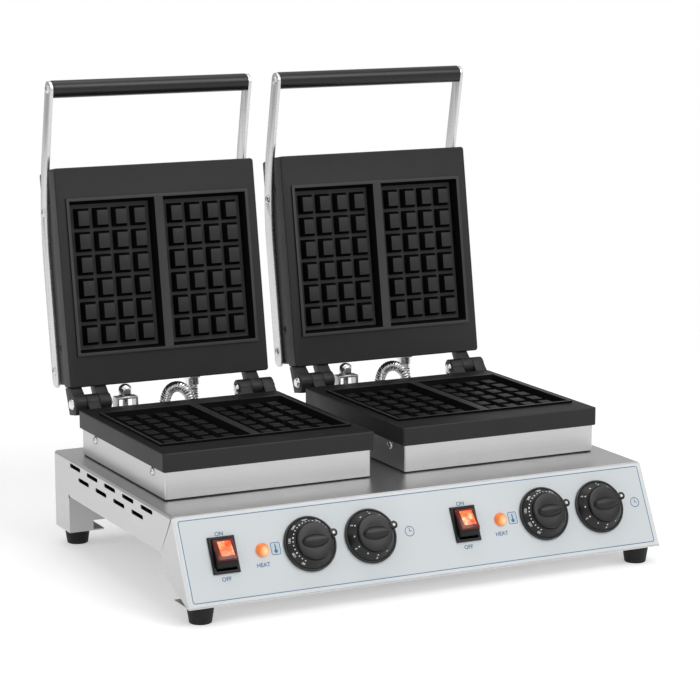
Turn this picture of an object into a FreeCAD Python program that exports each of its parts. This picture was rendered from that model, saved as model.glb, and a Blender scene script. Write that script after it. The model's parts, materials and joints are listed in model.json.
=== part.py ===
import FreeCAD, Part
import math
import os

# Countertop twin waffle iron, built as a bench would take it apart.
# Millimetres, +Z up, the front towards -Y, +X to the right when facing the controls.
# While building, y = 0 is the front edge of the flat top and z = 0 is the table.
# The finished pieces are then slid along Y, so that the origin lies under the middle.

V = FreeCAD.Vector
ALONG_X = V(1, 0, 0)
ALONG_Y = V(0, 1, 0)
ALONG_Z = V(0, 0, 1)

# Chassis sheet metal
base_width = 480.0
top_depth = 292.7
chassis_height = 73.7
foot_height = 16.5
sheet = 1.2
bend_radius = 3.0
seam_gap = 0.3
rear_leg_depth = 38.0
leg_flange_width = 23.0
foot_pad_width = 34.0
arch_clear_height = 36.3
relief_radius = 1.8

# Sloping fascia: its foot stands ahead of its top edge by the run
fascia_run = 37.5
flange_depth = 39.0
flange_top_drop = 21.7
flange_low_drop = 41.7
flange_toe_depth = 5.0
flange_toe_rise = 3.7
top_lip = 14.0
bottom_lip = 34.0
overlay_thickness = 0.4
overlay_margin = 1.6

# Vent slots in the side panels
slot_length = 27.6
slot_height = 4.0
slot_pitch = 44.9
slots_per_row = 5
slot_top_drop = 5.8
slot_row_step = 9.5
slot_rear_margin = 55.9

# Bottom pan
pan_gap = 0.5
pan_lip = 16.0

# Rubber feet and their screws
foot_top_radius = 12.6
foot_tip_radius = 10.0
foot_side_inset = 17.0
front_foot_back = 15.6
rear_foot_inset = 13.2
foot_well_radius = 5.2
foot_well_depth = 9.0
foot_screw_radius = 2.5
foot_screw_head_radius = 4.4
foot_screw_head_height = 3.2
foot_nut_flats = 8.0
foot_nut_height = 4.0

# Two baking stations
plate_width = 210.0
plate_depth = 212.0
plate_thickness = 17.4
rear_shelf = 27.7
plate_corner = 3.0
plate_edge = 1.2
housing_inset = 2.6
collar_height = 26.3
collar_reveal = 1.4
reveal_inset = 3.0
collar_flange = 12.0
collar_corner = 2.0
top_window_margin = 30.0

# Waffle pockets in each casting
rim_width = 3.0
rim_height = 2.0
pocket_side_border = 9.5
pocket_end_border = 29.75
pocket_divider = 9.0
pocket_depth = 8.5
pocket_draft = 3.0
post_columns = 4
post_rows = 6
post_side_margin = 5.2
post_end_margin = 5.45
groove_top = 8.4
groove_floor = 3.2
post_height = 7.5

# Casting bosses, which take the screws of the collar and of the cover
boss_size = 11.0
boss_height = 11.0
boss_front = 32.0
boss_rear = 38.0
boss_gap = 0.4
boss_screw_drop = 5.0

# Hinge
plate_gap = 0.6
hinge_setback = 15.5
knuckle_radius = 8.75
knuckle_width = 12.0
knuckle_gap = 0.5
ear_tail = 10.5
ear_root = 13.0
pin_radius = 4.0
pin_running_gap = 0.05
pin_head_radius = 5.5
pin_head_height = 2.5
pin_head_gap = 0.3
open_angle = 99.45

# Lid cover, arms and grip
cover_depth = 34.6
cover_edge = 4.0
arm_width = 16.0
arm_thickness = 3.0
arm_height = 41.0
arm_start = 8.0
arm_bend_setback = 90.0
arm_bend_radius = 290.0
arm_bend_turn = 21.0
arm_reach = 66.0
arm_low_screw = 16.0
arm_high_screw_turn = 9.7
grip_radius = 8.5
grip_edge = 1.2

# One kind of small screw for collar, cover and arms
screw_head_radius = 4.0
screw_head_rim = 1.0
screw_head_dome = 1.2
screw_dome_radius = 2.4
screw_radius = 2.0
screw_length = 9.0
screw_hole_gap = 0.1

# Heaters, bent from tube in a serpentine
heater_radius = 4.0
heater_seat_gap = 0.2
heater_half_width = 75.0
heater_inner = 25.0
heater_front_inset = 36.0
heater_rear_inset = 36.0
heater_mid_inset = 66.0
heater_bend = 20.0

# Lid stop behind the hinge line
stop_side_gap = 9.0
stop_contact = 3.7
stop_gap = 0.3
stop_ball_radius = 7.0
stop_flats = 12.0
stop_head_height = 7.0
stop_bolt_radius = 3.0
stop_bolt_length = 14.0
stop_bracket_width = 22.0
stop_bracket_depth = 12.0
stop_sheet = 2.0
stop_foot = 7.0
stop_drop = 5.0

# Conduit and its glands, measured from a station's middle line, and the loop from the hinge line
conduit_radius = 5.5
gland_offset = 19.5
gland_rear_inset = 13.2
gland_flats = 17.0
gland_nut_height = 8.0
gland_sleeve_radius = 7.2
gland_sleeve_length = 14.8
gland_thread_radius = 6.5
gland_thread_length = 7.0
gland_hole_gap = 0.3
lid_gland_offset = 37.7
lid_gland_height = 38.0
lid_gland_nut_height = 5.0
lid_gland_sleeve_length = 7.0
conduit_loop = [(11.7, 15.0, 7.1), (3.9, 31.0, -3.2), (2.5, 35.0, -37.2), (20.0, 39.5, -47.7),
                (37.7, 43.0, -39.2)]
conduit_rise = 20.0
conduit_fall = 18.0
route_share = 0.45

# Controls on the fascia, across from a station's middle and down from the top edge
control_drop = 38.5
rocker_offset = -79.0
pilot_offset = -42.0
thermostat_offset = 4.0
timer_offset = 64.0

# Rocker switch
rocker_bezel_width = 25.4
rocker_bezel_length = 33.0
rocker_bezel_height = 2.2
rocker_bezel_edge = 0.8
rocker_body_width = 23.0
rocker_body_length = 30.6
rocker_body_depth = 18.0
rocker_width = 19.4
rocker_sweep_radius = 13.9
rocker_well_gap = 0.4
rocker_well_depth = 10.0
rocker_top_height = 6.2
rocker_shoulder_drop = 1.0
rocker_foot_length = 12.0
rocker_foot_drop = 2.6
rocker_pivot_drop = 3.2
rocker_pivot_radius = 1.5
rocker_pivot_length = 0.9
rocker_pivot_gap = 0.06
rocker_tilt = 18.0
cutout_gap = 0.2

# Pilot lamp
lens_radius = 6.0
lens_rim = 1.6
lens_dome = 3.0
lamp_radius = 4.5
lamp_depth = 18.0

# Knobs with a cone-shaped dial, their fixed bezels with an index ear, and what they turn
bezel_radius = 25.0
bezel_wall = 1.5
bezel_floor = 0.5
bezel_height = 2.6
ear_foot_radius = 6.2
ear_top_radius = 3.4
ear_height = 11.2
ear_circle = 19.4
ear_angle = 15.7
skirt_gap = 0.3
skirt_thickness = 1.8
dial_top_radius = 17.6
dial_rise = 8.0
knob_radius = 16.7
knob_top_radius = 16.0
knob_height = 3.0
bar_width = 10.0
bar_height = 5.5
spindle_radius = 3.0
spindle_depth = 14.0
bush_radius = 5.0
bush_gap = 0.2
thermostat_radius = 15.5
thermostat_depth = 23.0
timer_width = 31.0
timer_depth = 25.0

# Rear cable gland and terminal block
cable_gland_inset = 70.0
cable_gland_drop = 22.0
cable_bore_radius = 4.0
cable_gland_flats = 22.0
cable_gland_nut = 6.0
cable_gland_dome_radius = 9.0
cable_gland_dome = 16.0
cable_gland_thread_radius = 8.0
terminal_length = 70.0
terminal_width = 22.0
terminal_height = 20.0
terminal_ways = 5
terminal_slot = 8.0
terminal_slot_depth = 9.0
terminal_front = 190.0

# Places that follow from the sizes above
half_width = base_width / 2
station_pitch = base_width / 2
top_z = foot_height + chassis_height
slope = math.atan2(fascia_run, chassis_height)
slant = math.hypot(fascia_run, chassis_height)
arch_z = foot_height + arch_clear_height
leg_front = top_depth - rear_leg_depth
plate_rear = top_depth - rear_shelf
plate_front = plate_rear - plate_depth
plate_middle = (plate_front + plate_rear) / 2
collar_top = top_z + collar_height
plate_top = collar_top + plate_thickness
hinge_y = plate_rear + hinge_setback
hinge_z = plate_top + rim_height + plate_gap / 2
lid_face = 2 * hinge_z - plate_top
housing_half = plate_width / 2 - housing_inset
housing_front = plate_front + housing_inset
housing_rear = plate_rear - housing_inset
arm_straight_end = plate_depth - arm_bend_setback
pocket_width = (plate_width - pocket_divider) / 2 - rim_width - pocket_side_border
pocket_length = plate_depth - 2 * (rim_width + pocket_end_border)
post_pitch_x = (pocket_width - 2 * post_side_margin) / post_columns
post_pitch_y = (pocket_length - 2 * post_end_margin) / post_rows
cable_gland_x = half_width - cable_gland_inset
stations = {"left": -station_pitch / 2, "right": station_pitch / 2}


# Shared shape helpers
def box(x0, x1, y0, y1, z0, z1):
    return Part.makeBox(x1 - x0, y1 - y0, z1 - z0, V(x0, y0, z0))


def rod(start, direction, radius, length):
    return Part.makeCylinder(radius, length, start, direction)


def prism(corners, travel):
    face = Part.Face(Part.makePolygon(corners + corners[:1]))
    return face.extrude(travel)


def side_prism(outline, x0, x1):
    """An outline in (y, z), drawn out from x0 to x1."""
    return prism([V(x0, y, z) for y, z in outline], V(x1 - x0, 0, 0))


def hexagon(centre, flats, height):
    corner = flats / math.sqrt(3)
    turns = [math.radians(60 * k) for k in range(6)]
    corners = [centre + V(corner * math.cos(t), corner * math.sin(t), 0) for t in turns]
    return prism(corners, V(0, 0, height))


def frustum(x, y, low_z, low_x, low_y, high_z, high_x, high_y):
    """A four-sided block that tapers from one rectangle to another."""
    rings = []
    for z, size_x, size_y in ((low_z, low_x, low_y), (high_z, high_x, high_y)):
        sides = ((-1, -1), (1, -1), (1, 1), (-1, 1))
        corners = [V(x + a * size_x / 2, y + b * size_y / 2, z) for a, b in sides]
        rings.append(Part.makePolygon(corners + corners[:1]))
    return Part.makeLoft(rings, True, True)


def edges_along(shape, axis):
    chosen = []
    for edge in shape.Edges:
        step = edge.Vertexes[-1].Point - edge.Vertexes[0].Point
        if step.Length > 0 and abs(step.dot(axis)) > 0.999 * step.Length:
            chosen.append(edge)
    return chosen


def edges_at_height(shape, z):
    return [e for e in shape.Edges if all(abs(v.Z - z) < 1e-6 for v in e.Vertexes)]


def joined(shapes):
    return shapes[0].fuse(shapes[1:]).removeSplitter()


def moved(shape, x=0.0, y=0.0, z=0.0):
    copy = shape.copy()
    copy.translate(V(x, y, z))
    return copy


def mirrored_pair(shape):
    return [shape, shape.mirror(V(0, 0, 0), ALONG_X)]


def on_fascia(shape, x, drop):
    """Lays a shape drawn flat, outwards along +Z and uphill along +Y, on the fascia."""
    copy = shape.copy()
    copy.rotate(V(0, 0, 0), ALONG_X, 90 - math.degrees(slope))
    copy.translate(V(x, -drop * math.sin(slope), top_z - drop * math.cos(slope)))
    return copy


def fascia_spot(depth, drop):
    """The (y, z) of a point behind the fascia's face and down from its top edge."""
    y = depth * math.cos(slope) - drop * math.sin(slope)
    z = top_z - depth * math.sin(slope) - drop * math.cos(slope)
    return y, z


def lid_opened(shape):
    copy = shape.copy()
    copy.rotate(V(0, hinge_y, hinge_z), ALONG_X, -open_angle)
    return copy


def lid_spot_opened(y, z):
    turn = math.radians(open_angle)
    dy = y - hinge_y
    dz = z - hinge_z
    open_y = hinge_y + dy * math.cos(turn) + dz * math.sin(turn)
    open_z = hinge_z - dy * math.sin(turn) + dz * math.cos(turn)
    return open_y, open_z


def turned_over(shape):
    """A casting and what is on it, turned over about the parting plane."""
    copy = shape.copy()
    copy.rotate(V(0, 0, hinge_z), ALONG_Y, 180)
    return copy


def screw(spot, outward):
    head = rod(spot, outward, screw_head_radius, screw_head_rim)
    dome = Part.makeCone(screw_head_radius, screw_dome_radius, screw_head_dome,
                         spot + outward * screw_head_rim, outward)
    shank = rod(spot, outward * -1, screw_radius, screw_length)
    return joined([head, dome, shank])


def screw_hole(spot, outward):
    start = spot + outward * screw_length
    return rod(start, outward * -1, screw_radius + screw_hole_gap, 2 * screw_length + screw_hole_gap)


def rounded_path(points):
    """Straight runs joined by tangent arcs, each as large as its two runs allow."""
    edges = []
    radii = []
    here = points[0]
    for before, corner, after in zip(points, points[1:], points[2:]):
        back = before - corner
        ahead = after - corner
        turn = math.pi - back.getAngle(ahead)
        reach = route_share * min(back.Length, ahead.Length)
        radius = reach / math.tan(turn / 2)
        back.normalize()
        ahead.normalize()
        start = corner + back * reach
        end = corner + ahead * reach
        inward = back + ahead
        inward.normalize()
        middle = corner + inward * (radius / math.cos(turn / 2) - radius)
        edges.append(Part.LineSegment(here, start).toShape())
        edges.append(Part.Arc(start, middle, end).toShape())
        radii.append(radius)
        here = end
    edges.append(Part.LineSegment(here, points[-1]).toShape())
    return Part.Wire(edges), radii


def tube_along(path, radius):
    first = path.Edges[0]
    start = first.valueAt(first.FirstParameter)
    heading = first.tangentAt(first.FirstParameter)
    ring = Part.Wire(Part.makeCircle(radius, start, heading))
    return path.makePipeShell([ring], True, True)


# Chassis
def chassis_shell():
    outer = box(-half_width, half_width, 0, top_depth, foot_height, top_z)
    top_edges = edges_along(outer, ALONG_Y)
    outer = outer.makeFillet(bend_radius, [e for e in top_edges if e.Vertexes[0].Z > arch_z])
    inner_half = half_width - sheet
    inner = box(-inner_half, inner_half, 0, top_depth, foot_height, top_z - sheet)
    top_edges = edges_along(inner, ALONG_Y)
    inner = inner.makeFillet(bend_radius - sheet, [e for e in top_edges if e.Vertexes[0].Z > arch_z])
    shell = outer.cut(inner)

    under_top = top_z - sheet
    seam_y, seam_z = fascia_spot(flange_depth, flange_top_drop)
    seam_run = seam_y / (top_z - seam_z)
    open_side = [(-fascia_run, under_top), (seam_run * sheet + seam_gap, under_top),
                 (seam_y + seam_gap, arch_z), (leg_front, arch_z), (leg_front, 0), (-fascia_run, 0)]
    shell = shell.cut(side_prism(open_side, -base_width, base_width))
    relief = rod(V(-base_width, leg_front, arch_z), ALONG_X, relief_radius, 2 * base_width)
    shell = shell.cut(relief)
    for slot in vent_slots():
        shell = shell.cut(slot)

    flange = box(-inner_half, -inner_half + leg_flange_width, leg_front, leg_front + sheet,
                 foot_height, arch_z - relief_radius)
    pad = box(-inner_half, -inner_half + foot_pad_width, leg_front, top_depth - sheet,
              foot_height, foot_height + sheet)
    shell = joined([shell] + mirrored_pair(flange) + mirrored_pair(pad))

    for x in stations.values():
        window = box(x - housing_half + top_window_margin, x + housing_half - top_window_margin,
                     housing_front + top_window_margin, housing_rear - top_window_margin,
                     under_top - sheet, top_z + sheet)
        gland = rod(V(x + gland_offset, top_depth - gland_rear_inset, under_top - sheet), ALONG_Z,
                    gland_thread_radius + gland_hole_gap, 3 * sheet)
        shell = shell.cut(window).cut(gland)
    for x, y in foot_places():
        if y > leg_front:
            shell = shell.cut(foot_screw_hole(x, y))
    return shell


def vent_slots():
    slots = []
    for row in range(2):
        z = top_z - slot_top_drop - row * slot_row_step
        for k in range(slots_per_row - row):
            y = top_depth - slot_rear_margin - (k + row / 2) * slot_pitch
            run = slot_length - slot_height
            body = box(-base_width, base_width, y - run / 2, y + run / 2,
                       z - slot_height / 2, z + slot_height / 2)
            ends = [rod(V(-base_width, y + s * run / 2, z), ALONG_X, slot_height / 2, 2 * base_width)
                    for s in (-1, 1)]
            slots.append(joined([body] + ends))
    return slots


def rear_panel():
    half = half_width - sheet - seam_gap
    panel = box(-half, half, top_depth - sheet, top_depth, foot_height, top_z - sheet)
    corners = [e for e in edges_along(panel, ALONG_Y) if e.Vertexes[0].Z > arch_z]
    panel = panel.makeFillet(bend_radius, corners)
    hole = rod(V(cable_gland_x, top_depth - 2 * sheet, top_z - cable_gland_drop), ALONG_Y,
               cable_gland_thread_radius + cutout_gap, 3 * sheet)
    return panel.cut(hole)


def front_fascia():
    lowest = slant - sheet * math.tan(slope)
    start = sheet / math.cos(slope)
    face = box(-half_width, half_width, -slant, -start, -sheet, 0)
    outline = [(0, start), (flange_depth, flange_top_drop), (flange_depth, flange_low_drop),
               (flange_toe_depth, slant - flange_toe_rise), (0, lowest)]
    corners = [V(-half_width, -drop, -depth) for depth, drop in outline]
    flange = prism(corners, V(sheet, 0, 0))
    tray = on_fascia(joined([face] + mirrored_pair(flange)), 0, 0)

    inner_half = half_width - bend_radius - seam_gap
    under_top = top_z - sheet
    lip = [fascia_spot(0, start), fascia_spot(0, 2 * start), (top_lip, under_top - sheet),
           (top_lip, under_top)]
    upper = side_prism(lip, -inner_half, inner_half)
    lower = box(-half_width, half_width, -fascia_run, -fascia_run + bottom_lip,
                foot_height, foot_height + sheet)
    tray = joined([tray, upper, lower])
    tray = tray.common(box(-half_width, half_width, -2 * fascia_run, top_depth, foot_height, under_top))
    for cutter in control_cutouts():
        tray = tray.cut(cutter)
    for x, y in foot_places():
        if y < 0:
            tray = tray.cut(foot_screw_hole(x, y))
    return tray


def control_cutouts():
    through = 4 * (sheet + overlay_thickness)
    cutters = []
    for x in stations.values():
        half_x = rocker_body_width / 2 + cutout_gap
        half_y = rocker_body_length / 2 + cutout_gap
        window = box(-half_x, half_x, -half_y, half_y, -through / 2, through / 2)
        cutters.append(on_fascia(window, x + rocker_offset, control_drop))
        lamp = rod(V(0, 0, -through / 2), ALONG_Z, lamp_radius + cutout_gap, through)
        cutters.append(on_fascia(lamp, x + pilot_offset, control_drop))
        for offset in (thermostat_offset, timer_offset):
            bush = rod(V(0, 0, -through / 2), ALONG_Z, bush_radius + bush_gap, through)
            cutters.append(on_fascia(bush, x + offset, control_drop))
    return cutters


def fascia_overlay():
    half = half_width - overlay_margin
    first = sheet / math.cos(slope) + overlay_margin
    film = on_fascia(box(-half, half, -slant + overlay_margin, -first, 0, overlay_thickness), 0, 0)
    for cutter in control_cutouts():
        film = film.cut(cutter)
    return film


def bottom_pan():
    half = half_width - sheet - seam_gap
    low = arch_z + pan_gap
    bend_y, bend_z = fascia_spot(flange_depth, flange_top_drop)
    heel_y, heel_z = fascia_spot(flange_depth, flange_low_drop)
    toe_y, toe_z = fascia_spot(flange_toe_depth, slant - flange_toe_rise)
    length = math.hypot(toe_y - heel_y, toe_z - heel_z)
    lip_y = heel_y + pan_lip * (toe_y - heel_y) / length
    lip_z = heel_z + pan_lip * (toe_z - heel_z) / length
    floor = [(bend_y, low), (bend_y, low + sheet), (top_depth - sheet, low + sheet), (top_depth - sheet, low)]
    wall = [(bend_y, low), (bend_y, low + sheet), (heel_y, heel_z + 2 * sheet), (heel_y, heel_z + sheet)]
    lip = [(heel_y, heel_z + sheet), (heel_y, heel_z + 2 * sheet), (lip_y, lip_z + 2 * sheet),
           (lip_y, lip_z + sheet)]
    return joined([side_prism(run, -half, half) for run in (floor, wall, lip)])


# Feet
def foot_places():
    x = half_width - foot_side_inset
    front = -fascia_run + front_foot_back
    rear = top_depth - rear_foot_inset
    return [(-x, front), (x, front), (-x, rear), (x, rear)]


def foot_screw_hole(x, y):
    return rod(V(x, y, 0), ALONG_Z, foot_screw_radius + screw_hole_gap, foot_height + 2 * sheet)


def rubber_foot(x, y):
    body = Part.makeCone(foot_tip_radius, foot_top_radius, foot_height, V(x, y, 0), ALONG_Z)
    well = rod(V(x, y, 0), ALONG_Z, foot_well_radius, foot_well_depth)
    return body.cut(well).cut(foot_screw_hole(x, y))


def foot_screw(x, y):
    seat = foot_well_depth
    nut_z = foot_height + sheet
    head = rod(V(x, y, seat), ALONG_Z * -1, foot_screw_head_radius, foot_screw_head_height)
    shank = rod(V(x, y, seat), ALONG_Z, foot_screw_radius, nut_z + foot_nut_height - seat)
    nut = hexagon(V(x, y, nut_z), foot_nut_flats, foot_nut_height)
    return joined([head, shank, nut])


# Castings
def boss_places():
    rows = (plate_front + boss_front, plate_rear - boss_rear)
    return [(side, y) for side in (-1, 1) for y in rows]


def boss_screw_spots():
    z = collar_top - boss_screw_drop
    return [(V(side * housing_half, y, z), V(side, 0, 0)) for side, y in boss_places()]


def ear(x0, x1, outline):
    block = side_prism([(plate_rear + back, plate_top + rise) for back, rise in outline], x0, x1)
    knuckle = rod(V(x0, hinge_y, hinge_z), ALONG_X, knuckle_radius, x1 - x0)
    return block.fuse(knuckle)


def knuckle_spans():
    """The inner, middle and outer knuckle of the right-hand hinge, as spans of x."""
    outer = plate_width / 2
    spans = []
    for k in range(3):
        end = outer - k * (knuckle_width + knuckle_gap)
        spans.append((end - knuckle_width, end))
    return spans[2], spans[1], spans[0]


def casting():
    """The lower plate, at the middle of the machine. Turned over, it is the upper plate."""
    half = plate_width / 2
    block = box(-half, half, plate_front, plate_rear, collar_top, plate_top)
    block = block.makeFillet(plate_corner, edges_along(block, ALONG_Z))
    brims = edges_at_height(block, plate_top) + edges_at_height(block, collar_top)
    block = block.makeFillet(plate_edge, brims)

    rim_top = plate_top + rim_height
    frame_x = 2 * pocket_width + pocket_divider + 2 * rim_width
    frame_y = pocket_length + 2 * rim_width
    rim = box(-frame_x / 2, frame_x / 2, plate_middle - frame_y / 2, plate_middle + frame_y / 2,
              plate_top - rim_height, rim_top)
    bosses = []
    for side, y in boss_places():
        wall = side * (housing_half - sheet - boss_gap)
        inner = wall - side * boss_size
        bosses.append(box(min(wall, inner), max(wall, inner), y - boss_size / 2, y + boss_size / 2,
                          collar_top - boss_height, collar_top + plate_edge))

    axis_rise = hinge_z - plate_top
    plain = [(0, -rim_height), (0, -ear_root), (hinge_setback, axis_rise - knuckle_radius),
             (hinge_setback, axis_rise + knuckle_radius)]
    tail_end = hinge_setback + ear_tail
    tailed = [(0, -rim_height), (0, -ear_root - rim_height), (tail_end, axis_rise - ear_tail),
              (tail_end, axis_rise + knuckle_radius - rim_height),
              (hinge_setback - rim_height, axis_rise + knuckle_radius)]
    inner, middle, outer = knuckle_spans()
    ears = [ear(-middle[1], -middle[0], plain), ear(inner[0], inner[1], plain),
            ear(outer[0], outer[1], tailed)]
    plate = joined([block, rim] + bosses + ears)

    floor = plate_top - pocket_depth
    for side in (-1, 1):
        middle_x = side * (pocket_width + pocket_divider) / 2
        plate = plate.cut(frustum(middle_x, plate_middle, floor, pocket_width - 2 * pocket_draft,
                                  pocket_length - 2 * pocket_draft, rim_top, pocket_width, pocket_length))
    plate = joined([plate] + posts(floor))

    bore = rod(V(-plate_width, hinge_y, hinge_z), ALONG_X, pin_radius + pin_running_gap, 2 * plate_width)
    plate = plate.cut(bore)
    for spot, outward in boss_screw_spots():
        plate = plate.cut(screw_hole(spot, outward))
    return plate


def posts(floor):
    blocks = []
    top = floor + post_height
    for side in (-1, 1):
        middle_x = side * (pocket_width + pocket_divider) / 2
        for column in range(post_columns):
            x = middle_x + (column - (post_columns - 1) / 2) * post_pitch_x
            for row in range(post_rows):
                y = plate_middle + (row - (post_rows - 1) / 2) * post_pitch_y
                blocks.append(frustum(x, y, floor, post_pitch_x - groove_floor, post_pitch_y - groove_floor,
                                      top, post_pitch_x - groove_top, post_pitch_y - groove_top))
    return blocks


def heater():
    z = collar_top - heater_seat_gap - heater_radius
    front = plate_front + heater_front_inset
    rear = plate_rear - heater_rear_inset
    mid = plate_rear - heater_mid_inset
    turns = [(-heater_half_width, front), (-heater_inner, front), (-heater_inner, mid),
             (heater_inner, mid), (heater_inner, front), (heater_half_width, front)]
    edges = []
    here = V(-heater_half_width, rear, z)
    stops = turns + [(heater_half_width, rear)]
    for (x, y), (next_x, next_y) in zip(turns, stops[1:]):
        corner = V(x, y, z)
        back = here - corner
        ahead = V(next_x, next_y, z) - corner
        back.normalize()
        ahead.normalize()
        start = corner + back * heater_bend
        end = corner + ahead * heater_bend
        centre = corner + (back + ahead) * heater_bend
        inward = corner - centre
        inward.normalize()
        edges.append(Part.LineSegment(here, start).toShape())
        edges.append(Part.Arc(start, centre + inward * heater_bend, end).toShape())
        here = end
    edges.append(Part.LineSegment(here, V(heater_half_width, rear, z)).toShape())
    return tube_along(Part.Wire(edges), heater_radius)


# Housings under and over the castings
def collar():
    low = top_z + collar_reveal
    shell = box(-housing_half, housing_half, housing_front, housing_rear, low, collar_top)
    shell = shell.makeFillet(collar_corner, edges_along(shell, ALONG_Z))
    inset = housing_inset + reveal_inset
    foot = box(-plate_width / 2 + inset, plate_width / 2 - inset, plate_front + inset, plate_rear - inset,
               top_z, low)
    shell = joined([shell, foot])
    hollow = box(-housing_half + sheet, housing_half - sheet, housing_front + sheet, housing_rear - sheet,
                 low + sheet, collar_top)
    window = box(-housing_half + collar_flange, housing_half - collar_flange,
                 housing_front + collar_flange, housing_rear - collar_flange, top_z, collar_top)
    shell = shell.cut(hollow).cut(window)
    for spot, outward in boss_screw_spots():
        shell = shell.cut(screw_hole(spot, outward))
    return shell


def lid_cover():
    """The cover on the back of the upper plate, drawn with the lid closed."""
    low = lid_face + plate_thickness
    high = low + cover_depth
    shell = box(-housing_half, housing_half, housing_front, housing_rear, low, high)
    shell = shell.makeFillet(collar_corner, edges_along(shell, ALONG_Z))
    shell = shell.makeFillet(cover_edge, edges_at_height(shell, high))
    hollow = box(-housing_half + sheet, housing_half - sheet, housing_front + sheet, housing_rear - sheet,
                 low, high - sheet)
    hollow = hollow.makeFillet(cover_edge - sheet, edges_at_height(hollow, high - sheet))
    shell = shell.cut(hollow)
    for spot, outward in arm_screw_spots()[:4] + lid_screw_spots():
        shell = shell.cut(screw_hole(spot, outward))
    hole = rod(V(lid_gland_offset, housing_rear - 2 * sheet, lid_face + lid_gland_height), ALONG_Y,
               gland_thread_radius + gland_hole_gap, 3 * sheet)
    return shell.cut(hole)


def lid_screw_spots():
    z = 2 * hinge_z - (collar_top - boss_screw_drop)
    return [(V(side * housing_half, y, z), V(side, 0, 0)) for side, y in boss_places()]


# Arms and grip, drawn with the lid closed
def arm_spot(along, height):
    return plate_rear - along, lid_face + height


def arm_line(turn, offset):
    """A point beside the arm's middle line, turn degrees round its bend."""
    radius = arm_bend_radius + offset
    along = arm_straight_end + radius * math.sin(math.radians(turn))
    height = arm_height - arm_bend_radius + radius * math.cos(math.radians(turn))
    return along, height


def grip_axis():
    along, height = arm_line(arm_bend_turn, 0)
    turn = math.radians(arm_bend_turn)
    return arm_spot(along + arm_reach * math.cos(turn), height - arm_reach * math.sin(turn))


def arm_screw_spots():
    """Low, high and grip screws of both arms, on the arms' outer faces."""
    outer = housing_half + arm_thickness
    low = arm_spot(arm_low_screw, arm_height)
    high = arm_spot(*arm_line(arm_high_screw_turn, 0))
    spots = []
    for y, z in (low, high, grip_axis()):
        for side in (-1, 1):
            spots.append((V(side * outer, y, z), V(side, 0, 0)))
    return spots


def arm(side):
    half = arm_width / 2
    turn = math.radians(arm_bend_turn)
    end_y, end_z = grip_axis()
    inner = side * housing_half

    def at(spot):
        return V(inner, spot[0], spot[1])

    tip = V(0, -math.cos(turn), -math.sin(turn))
    across = V(0, -math.sin(turn), math.cos(turn))
    grip = V(inner, end_y, end_z)
    corners = [at(arm_spot(arm_start, arm_height + half)), at(arm_spot(*arm_line(0, half))),
               at(arm_spot(*arm_line(arm_bend_turn, half))), grip + across * half,
               grip - across * half, at(arm_spot(*arm_line(arm_bend_turn, -half))),
               at(arm_spot(*arm_line(0, -half))), at(arm_spot(arm_start, arm_height - half))]
    over = at(arm_spot(*arm_line(arm_bend_turn / 2, half)))
    under = at(arm_spot(*arm_line(arm_bend_turn / 2, -half)))
    heel = at(arm_spot(arm_start - half, arm_height))
    edges = [Part.LineSegment(corners[0], corners[1]), Part.Arc(corners[1], over, corners[2]),
             Part.LineSegment(corners[2], corners[3]), Part.Arc(corners[3], grip + tip * half, corners[4]),
             Part.LineSegment(corners[4], corners[5]), Part.Arc(corners[5], under, corners[6]),
             Part.LineSegment(corners[6], corners[7]), Part.Arc(corners[7], heel, corners[0])]
    outline = Part.Wire([e.toShape() for e in edges])
    bar = Part.Face(outline).extrude(V(side * arm_thickness, 0, 0))
    for spot, outward in arm_screw_spots():
        bar = bar.cut(screw_hole(spot, outward))
    return bar


def grip():
    y, z = grip_axis()
    bar = rod(V(-housing_half, y, z), ALONG_X, grip_radius, 2 * housing_half)
    bar = bar.makeFillet(grip_edge, [e for e in bar.Edges if e.Closed])
    for spot, outward in arm_screw_spots()[4:]:
        bar = bar.cut(screw_hole(spot, outward))
    return bar


# Hinge pins
def hinge_pins():
    inner, middle, outer = knuckle_spans()
    pins = []
    for side in (-1, 1):
        first = side * (inner[0] - pin_head_gap)
        last = side * (outer[1] + pin_head_gap)
        shank = rod(V(first, hinge_y, hinge_z), V(side, 0, 0), pin_radius, abs(last - first))
        heads = []
        for x, way in ((first, -side), (last, side)):
            heads.append(Part.makeCone(pin_head_radius, pin_radius, pin_head_height,
                                       V(x, hinge_y, hinge_z), V(way, 0, 0)))
        pins.append(joined([shank] + heads))
    return Part.makeCompound(pins)


# Lid stop
def stop_ball():
    """Middle of the bolt's round top, beside the hinge and just under the open lid's rear edge."""
    y, z = lid_spot_opened(plate_rear + stop_ball_radius + stop_gap, lid_face + stop_contact)
    inner, middle, outer = knuckle_spans()
    return V(stop_side_gap + stop_bracket_width / 2 - inner[0], y, z)


def stop_bolt():
    ball = stop_ball()
    seat = ball - ALONG_Z * stop_drop
    cap = Part.makeSphere(stop_ball_radius, ball)
    cap = cap.common(hexagon(ball, stop_flats, stop_ball_radius))
    head = hexagon(seat, stop_flats, stop_drop)
    shank = rod(seat, ALONG_Z * -1, stop_bolt_radius, stop_bolt_length)
    return joined([head, cap, shank])


def stop_bracket():
    ball = stop_ball()
    bridge_top = ball.z - stop_drop
    half = stop_bracket_width / 2
    rear = min(ball.y + stop_bracket_depth / 2, top_depth)
    front = rear - stop_bracket_depth
    left = ball.x - half
    right = ball.x + half
    legs = box(left, right, front, rear, top_z, bridge_top)
    gap = box(left + stop_sheet, right - stop_sheet, front, rear, top_z, bridge_top - stop_sheet)
    feet = [box(left - stop_foot, left + stop_sheet, front, rear, top_z, top_z + stop_sheet),
            box(right - stop_sheet, right + stop_foot, front, rear, top_z, top_z + stop_sheet)]
    bracket = joined([legs.cut(gap)] + feet)
    return bracket.cut(rod(ball, ALONG_Z * -1, stop_bolt_radius + screw_hole_gap, ball.z - top_z))


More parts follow.
